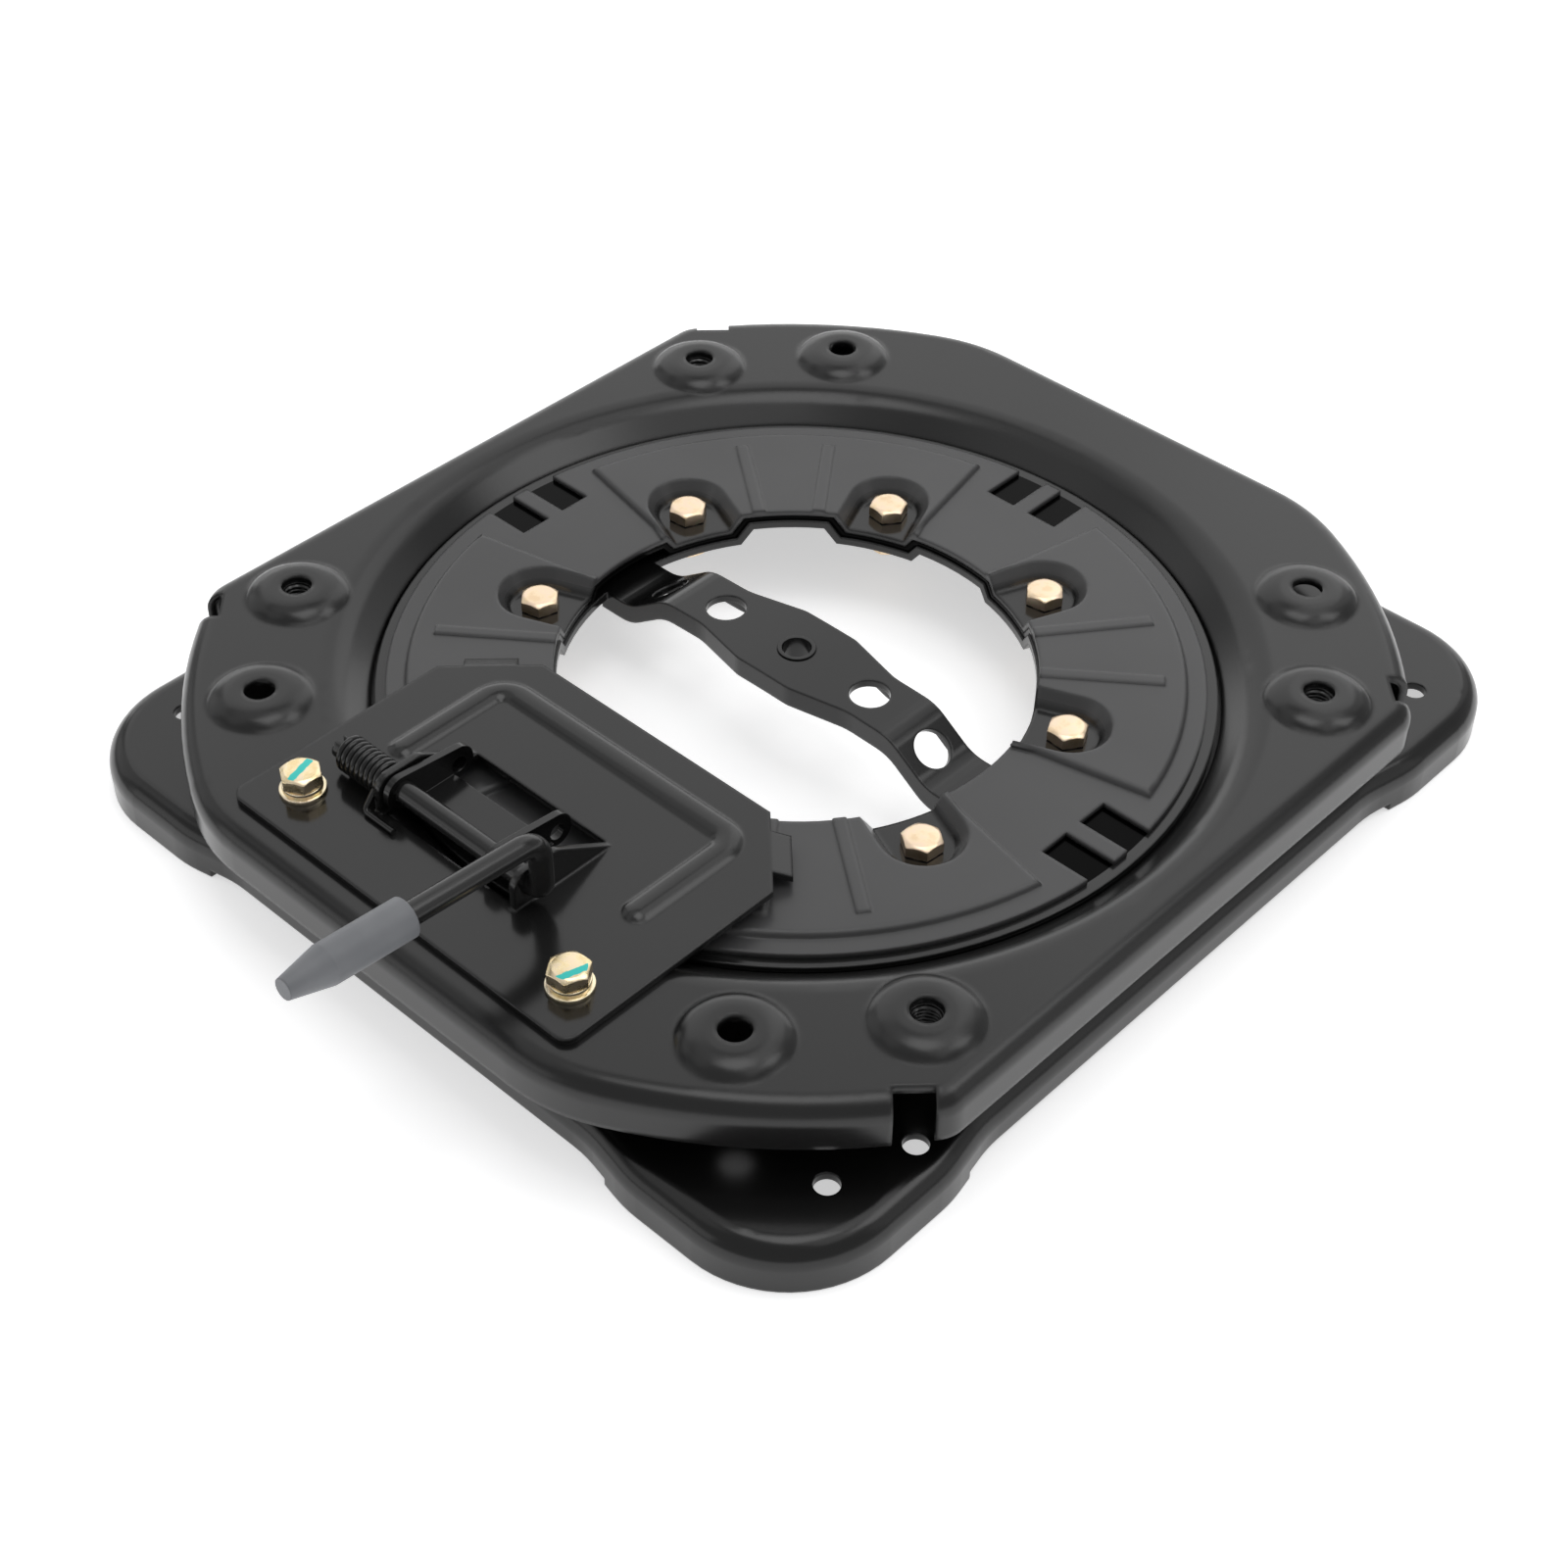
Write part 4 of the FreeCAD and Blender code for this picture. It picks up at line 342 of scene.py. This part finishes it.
class Turning(Workbench):
    """A lathe: turns a profile, trims it to a hexagon, cuts a thread and sets out the copies."""

    SIZES = ("Steps", "Flats", "Thread radius", "Thread depth", "Pitch", "Copies", "Rows",
             "Reach", "Row reach", "First turn", "Loose turn")

    def __init__(self, name, in_a_ring):
        self.tree = bpy.data.node_groups.new(name, "GeometryNodeTree")
        face = self.tree.interface      # inputs first, then the one output
        self.keys = {}
        face.new_socket("Profile", in_out="INPUT", socket_type="NodeSocketGeometry")
        for label in self.SIZES:
            made = face.new_socket(label, in_out="INPUT", socket_type="NodeSocketFloat")
            self.keys[label] = made.identifier
        made = face.new_socket("Finish", in_out="INPUT", socket_type="NodeSocketMaterial")
        self.keys["Finish"] = made.identifier
        face.new_socket("Pieces", in_out="OUTPUT", socket_type="NodeSocketGeometry")
        self.entry = self.tree.nodes.new("NodeGroupInput")
        way_out = self.tree.nodes.new("NodeGroupOutput")
        set_out = self.set_out(self.turned(), in_a_ring)
        plain = self.node("GeometryNodeRealizeInstances", None, {0: set_out})
        done = self.node("GeometryNodeSetMaterial", None,
                         {"Geometry": plain, "Material": self.size("Finish")})
        self.tree.links.new(done.socket, way_out.inputs[0])

    def size(self, label):
        """A named input of the lathe."""
        return Value(self, self.entry.outputs[label])

    def turned(self):
        """Wraps a grid round the axis, one column to a profile point."""
        profile = self.size("Profile")
        steps = self.size("Steps")
        stations = self.node("GeometryNodeAttributeDomainSize", {"component": "MESH"}, {0: profile})
        sheet = self.node("GeometryNodeMeshGrid", None,
                          {"Vertices X": steps + 1, "Vertices Y": stations})
        index = self.node("GeometryNodeInputIndex")
        place = self.node("GeometryNodeInputPosition")
        point = self.node("GeometryNodeSampleIndex", {"data_type": "FLOAT_VECTOR"},
                          {"Geometry": profile, "Value": place, "Index": index % stations})
        radius, _, height = self.parts_of(point)
        around = (index / stations).whole() / steps
        wave = (height / self.size("Pitch") - around).to_and_fro(0.5) * 2.0 - 0.5
        flank = (wave * 1.5).least(0.5).most(-0.5)
        on_thread = abs(radius - self.size("Thread radius")).below(THREAD_BAND)
        radius = radius + flank * self.size("Thread depth") * on_thread
        angle = around * math.tau
        off_flat = (angle + math.pi / 6) % (math.pi / 3) - math.pi / 6
        radius = radius.least(self.size("Flats") * 0.5 / off_flat.cosine())
        spot = self.node("ShaderNodeCombineXYZ", None, {0: radius * angle.cosine(),
                                                        1: radius * angle.sine(), 2: height})
        shaped = self.node("GeometryNodeSetPosition", None, {"Geometry": sheet, "Position": spot})
        return self.node("GeometryNodeMergeByDistance", None,
                         {"Geometry": shaped, "Distance": 0.000002})

    def set_out(self, piece, in_a_ring):
        """Copies of a piece in a ring or in rows, each turned by chance about its own axis."""
        if in_a_ring:
            spots = self.node("GeometryNodeMeshCircle", None,
                              {"Vertices": self.size("Copies"), "Radius": self.size("Reach")})
            spin = self.node("ShaderNodeCombineXYZ", None, {2: self.size("First turn")})
            spots = self.node("GeometryNodeTransform", None, {"Geometry": spots, "Rotation": spin})
        else:
            spots = self.node("GeometryNodeMeshGrid", None,
                              {"Size X": self.size("Reach") * 2.0,
                               "Size Y": self.size("Row reach") * 2.0,
                               "Vertices X": self.size("Copies"),
                               "Vertices Y": self.size("Rows")})
        loose = self.node("FunctionNodeRandomValue", {"data_type": "FLOAT"},
                          {"Min": 0.0, "Max": self.size("Loose turn"), "Seed": RANDOM_SEED}, out=1)
        turn = self.node("ShaderNodeCombineXYZ", None, {2: loose})
        return self.node("GeometryNodeInstanceOnPoints", None,
                         {"Points": spots, "Instance": piece, "Rotation": turn})


class Coiling(Turning):
    """Bends a square wire round into washers that are split on a slant."""

    SIZES = Turning.SIZES + ("Mean radius", "Wire width", "Wire height", "Gap", "Slant", "Rise")

    def turned(self):
        line = self.node("GeometryNodeCurveArc", None,
                         {"Resolution": self.size("Steps"), "Radius": self.size("Mean radius"),
                          "Start Angle": self.size("Gap") * 0.5,
                          "Sweep Angle": math.tau - self.size("Gap")})
        wire = self.node("GeometryNodeCurvePrimitiveQuadrilateral", None,
                         {"Width": self.size("Wire width"), "Height": self.size("Wire height")})
        wire = self.node("GeometryNodeFilletCurve", {"mode": "POLY"},
                         {"Curve": wire, "Count": 2, "Radius": self.size("Wire height") * 0.14})
        band = self.node("GeometryNodeCurveToMesh", None,
                         {"Curve": line, "Profile Curve": wire, "Fill Caps": True})
        x, y, z = self.parts_of(self.node("GeometryNodeInputPosition"))
        turn = y.angle_to(x) % math.tau
        lean = z / self.size("Wire height") * self.size("Slant")
        spot = self.node("ShaderNodeCombineXYZ", None,
                         {0: x * lean.cosine() - y * lean.sine(),
                          1: x * lean.sine() + y * lean.cosine(),
                          2: z + (turn / math.tau - 0.5) * self.size("Rise")})
        return self.node("GeometryNodeSetPosition", None, {"Geometry": band, "Position": spot})


ringed = Turning("turned_in_a_ring", True)
rowed = Turning("turned_in_rows", False)
coiled = Coiling("coiled_in_rows", False)


CREASE = math.radians(32.0)
WELD = 0.000001


def keep_mesh(name, mesh, body, node):
    """One plain mesh that rides on its body in place of the solid it is drawn from."""
    work = bmesh.new()
    work.from_mesh(mesh)
    bmesh.ops.remove_doubles(work, verts=work.verts, dist=WELD)
    bmesh.ops.recalc_face_normals(work, faces=work.faces)
    work.to_mesh(mesh)
    work.free()
    mesh.polygons.foreach_set("use_smooth", [True] * len(mesh.polygons))
    mesh.set_sharp_from_angle(angle=CREASE)
    piece = bpy.data.objects.new(name, mesh)
    scene.collection.objects.link(piece)
    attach(piece, body)
    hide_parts(node)


def turn_out(name, lathe, profile, finish, body, node, at=(0.0, 0.0, 0.0), **sizes):
    """Turns a profile of (radius, height) points in millimetres and sets the copies out."""
    stock = bpy.data.meshes.new(name + "_profile")
    stock.from_pydata([(r * MM, 0.0, z * MM) for r, z in profile], [], [])
    held = bpy.data.objects.new(name + "_profile", stock)
    scene.collection.objects.link(held)
    step = held.modifiers.new("lathe", "NODES")
    step.node_group = lathe.tree
    wanted = dict.fromkeys(lathe.SIZES, 0.0)
    wanted.update({"Steps": 48.0, "Flats": 0.1, "Thread radius": 1.0, "Pitch": 1.0,
                   "Copies": 1.0, "Rows": 1.0})
    wanted.update({key.replace("_", " "): float(value) for key, value in sizes.items()})
    for label, value in wanted.items():
        step[lathe.keys[label]] = value
    step[lathe.keys["Finish"]] = finish
    ready = held.evaluated_get(bpy.context.evaluated_depsgraph_get())
    mesh = bpy.data.meshes.new_from_object(ready)
    mesh.name = name
    bpy.data.objects.remove(held)
    mesh.transform(Matrix.Translation(Vector(at) * MM))
    keep_mesh(name, mesh, body, node)


def low_high(node):
    """Lowest and highest level of a node, in millimetres."""
    low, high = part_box(node)
    return low[2] / MM, high[2] / MM


CHAMFER = math.tan(math.radians(28))
HEAD_PARTS = (0.35, 0.52, 0.64, 0.76, 0.88, 1.0)
NUT_PARTS = (0.0, 0.3, 0.48, 0.64, 0.82, 1.0)
THREAD_STEP = 0.156        # an eighth of the M8 pitch
RING_RADIUS = 100.0        # of the ring bolts' circle
RING_START = math.radians(22.5)
M8_FLATS, M8_SHANK, M8_BORE, M8_HEAD = 13.0, 4.0, 4.08, 5.3
M10_FLATS, M10_BORE = 17.0, 4.7
M8_THREAD = {"Thread_radius": 0.0037, "Thread_depth": 0.0006, "Pitch": 0.00125}
M10_THREAD = {"Thread_radius": M10_BORE * MM, "Thread_depth": 0.00085, "Pitch": 0.0015}


def corner_of(flats):
    """Radius of a hexagon's corner, with a little to spare for the trim."""
    return flats / 2 / math.cos(math.pi / 6) + 0.01


def bolt_profile(tip, seat, top, thread_from):
    """M8 bolt: chamfered hexagon head on a washer face, plain shank and a threaded end."""
    corner = corner_of(M8_FLATS)
    flat = M8_FLATS * 0.43
    face = M8_FLATS * 0.485
    shape = [(0.0, top), (flat - 0.3, top), (flat, top - 0.06)]
    for part in HEAD_PARTS:
        radius = flat + (corner - flat) * part
        shape.append((radius, top - 0.06 - (radius - flat) * CHAMFER))
    shape += [(corner, seat + 0.45), (face, seat + 0.28), (face, seat), (M8_SHANK + 0.25, seat),
              (M8_SHANK, seat - 0.25), (M8_SHANK, thread_from + 0.3)]
    for i in range(int((thread_from - tip - 0.9) / THREAD_STEP) + 1):
        shape.append((M8_SHANK - 0.3, thread_from - i * THREAD_STEP))
    return shape + [(M8_SHANK - 0.9, tip), (0.0, tip)]


def nut_profile(low, high, flats, bore, thread_points=0):
    """Hexagon nut, its edges chamfered and its bore led in. The thread needs points to turn."""
    corner = corner_of(flats)
    flat = flats * 0.455
    rims = [flat + (corner - flat) * part for part in NUT_PARTS]
    shape = [(bore, high - 0.6), (bore + 0.55, high)]
    shape += [(radius, high - (radius - flat) * CHAMFER) for radius in rims]
    shape += [(radius, low + (radius - flat) * CHAMFER) for radius in reversed(rims)]
    shape += [(bore + 0.55, low), (bore, low + 0.6)]
    for i in range(1, thread_points):
        shape.append((bore, low + 0.6 + (high - low - 1.2) * i / thread_points))
    return shape + [shape[0]]


def make_ring_fasteners():
    tip, top = low_high("ring_bolts")
    nut_low, nut_high = low_high("ring_nuts")
    around = {"Flats": M8_FLATS * MM, "Copies": 8, "Reach": RING_RADIUS * MM,
              "First_turn": RING_START, "Loose_turn": math.tau}
    turn_out("ring_bolt_set", ringed, bolt_profile(tip, top - M8_HEAD, top, nut_low + 1.2),
             zinc_ring, "base", "ring_bolts", **M8_THREAD, **around)
    turn_out("ring_nut_set", ringed, nut_profile(nut_low, nut_high, M8_FLATS, M8_BORE),
             zinc_ring, "base", "ring_nuts", **around)


def make_seat_nuts():
    low, high = low_high("seat_weld_nuts")
    turn_out("seat_nut_set", rowed, nut_profile(low, high, M10_FLATS, M10_BORE, 40), paint_small,
             "turntable", "seat_weld_nuts", Steps=60, Flats=M10_FLATS * MM, **M10_THREAD,
             Copies=2, Rows=2, Reach=0.150, Row_reach=0.103)


def washer_profile(low, high, outer, bore):
    """Stamped flat washer, its upper edges drawn in a little by the punch."""
    return [(bore, low), (bore, high - 0.2), (bore + 0.2, high), (outer - 0.45, high),
            (outer - 0.15, high - 0.12), (outer, high - 0.4), (outer, low), (bore, low)]


def make_latch_fasteners():
    pair = {"Copies": 2, "Reach": 0.064}
    forward = -169.5
    tip, top = low_high("latch_bolts")
    washer_low, washer_high = low_high("latch_flat_washers")
    spring_low, spring_high = low_high("latch_spring_washers")
    nut_low, nut_high = low_high("latch_weld_nuts")
    turn_out("latch_bolt_pair", rowed, bolt_profile(tip, spring_high, top, tip + 3.0),
             zinc_latch, "turntable", "latch_bolts", (0.0, forward, 0.0),
             Flats=M8_FLATS * MM, Loose_turn=1.4, **M8_THREAD, **pair)
    turn_out("latch_flat_washer_pair", rowed, washer_profile(washer_low, washer_high, 8.0, 4.3),
             zinc_washer, "turntable", "latch_flat_washers", (0.0, forward, 0.0), Steps=64, **pair)
    turn_out("latch_spring_washer_pair", coiled, [(0.0, 0.0)], zinc_washer, "turntable",
             "latch_spring_washers", (0.0, forward, (spring_low + spring_high) / 2), Steps=60,
             Mean_radius=0.0056, Wire_width=0.0026, Wire_height=0.0019, Gap=0.22, Slant=0.28,
             Rise=0.0001, Loose_turn=5.0, **pair)
    turn_out("latch_weld_nut_pair", rowed, nut_profile(nut_low, nut_high, M8_FLATS, M8_BORE),
             paint_small, "turntable", "latch_weld_nuts", (0.0, forward, 0.0),
             Flats=M8_FLATS * MM, **pair)


make_ring_fasteners()
make_seat_nuts()
make_latch_fasteners()


# Studio: pale floor, big soft lights and the camera of the photograph

FLOOR_REACH = 6.0
FLOOR_LEVEL = -0.0006      # a hair below the part, so that no faces coincide
FLOOR_GLOW = 0.60
ROOM_BRIGHTNESS = 0.41
WHITE = colour(1.0, 1.0, 1.0)


def pale_floor():
    """White floor, lifted by a faint glow of its own to a clean backdrop."""
    f = Finish("studio_floor")
    cloud = f.noise(3.0, 2.0, 0.5)
    tint = f.blend(cloud, colour(0.92, 0.92, 0.92), colour(0.90, 0.90, 0.905))
    return f.surface(Base_Color=tint, Roughness=0.9, Emission_Color=tint,
                     Emission_Strength=FLOOR_GLOW)


def make_floor():
    mesh = bpy.data.meshes.new("studio_floor")
    corners = ((-1, -1), (1, -1), (1, 1), (-1, 1))
    mesh.from_pydata([(x * FLOOR_REACH, y * FLOOR_REACH, FLOOR_LEVEL) for x, y in corners],
                     [], [(0, 1, 2, 3)])
    floor = bpy.data.objects.new("studio_floor", mesh)
    scene.collection.objects.link(floor)
    mesh.materials.append(pale_floor())


def soft_light(name, place, width, depth, radiance):
    """A rectangular white soft box of an even brightness, facing the part."""
    data = bpy.data.lights.new(name, "AREA")
    data.shape = "RECTANGLE"
    data.size = width
    data.size_y = depth
    data.energy = radiance * width * depth * math.pi
    lamp = bpy.data.objects.new(name, data)
    lamp.location = place
    lamp.rotation_euler = (-Vector(place)).to_track_quat("-Z", "Y").to_euler()
    scene.collection.objects.link(lamp)


# Name, place, width and depth in metres, brightness
SOFT_LIGHTS = (
    ("back", (-1.05, 1.10, 1.30), 2.60, 1.30, 0.72),
    ("back_low", (-1.20, 1.30, 0.40), 3.00, 0.50, 1.04),
    ("back_right", (-0.25, 1.70, 1.25), 1.30, 1.30, 0.27),
    ("left", (-1.35, -0.40, 0.78), 0.80, 1.00, 0.34),
    ("left_low", (-0.70, -1.40, 0.45), 1.20, 0.60, 0.62),
    ("right", (1.35, 0.75, 0.75), 0.80, 1.00, 0.30),
    ("top", (0.0, 0.0, 1.90), 0.85, 0.85, 2.12),
    ("top_back", (0.0, 0.9, 1.90), 0.85, 0.85, 0.88),
    ("top_right", (0.9, 0.0, 1.90), 0.85, 0.85, 0.67),
    ("top_corner", (0.9, 0.9, 1.90), 0.85, 0.85, 2.06),
    ("top_left", (-0.9, 0.0, 1.90), 0.85, 0.85, 0.32),
    ("top_front", (-0.9, -0.9, 1.90), 0.85, 0.85, 0.31),
)


def make_studio():
    make_floor()
    for name, place, width, depth, radiance in SOFT_LIGHTS:
        soft_light("light_" + name, place, width, depth, radiance)
    world = bpy.data.worlds.new("studio_room")
    world.use_nodes = True
    backdrop = world.node_tree.nodes["Background"]
    backdrop.inputs["Color"].default_value = WHITE
    backdrop.inputs["Strength"].default_value = ROOM_BRIGHTNESS
    scene.world = world
    scene.view_settings.view_transform = "Standard"


CAMERA_PLACE = Vector((480.18, -523.65, 625.33)) * MM
CAMERA_TURN = 42.8396      # degrees
CAMERA_RISE = 42.2498
CAMERA_ROLL = 0.6415
CAMERA_LENS = 59.546       # mm on a 36 mm square


def make_camera():
    turn, rise, roll = (math.radians(v) for v in (CAMERA_TURN, CAMERA_RISE, CAMERA_ROLL))
    back = Vector((math.sin(turn) * math.cos(rise), -math.cos(turn) * math.cos(rise),
                   math.sin(rise)))
    level = Vector((math.cos(turn), math.sin(turn), 0.0))
    lift = back.cross(level)
    right = level * math.cos(roll) + lift * math.sin(roll)
    up = lift * math.cos(roll) - level * math.sin(roll)
    data = bpy.data.cameras.new("photo_camera")
    data.lens = CAMERA_LENS
    data.sensor_width = 36.0
    data.sensor_height = 36.0
    data.clip_start = 0.02
    view = bpy.data.objects.new("photo_camera", data)
    view.matrix_world = Matrix((
        (right.x, up.x, back.x, CAMERA_PLACE.x),
        (right.y, up.y, back.y, CAMERA_PLACE.y),
        (right.z, up.z, back.z, CAMERA_PLACE.z),
        (0.0, 0.0, 0.0, 1.0)))
    scene.collection.objects.link(view)
    scene.camera = view


make_studio()
make_camera()
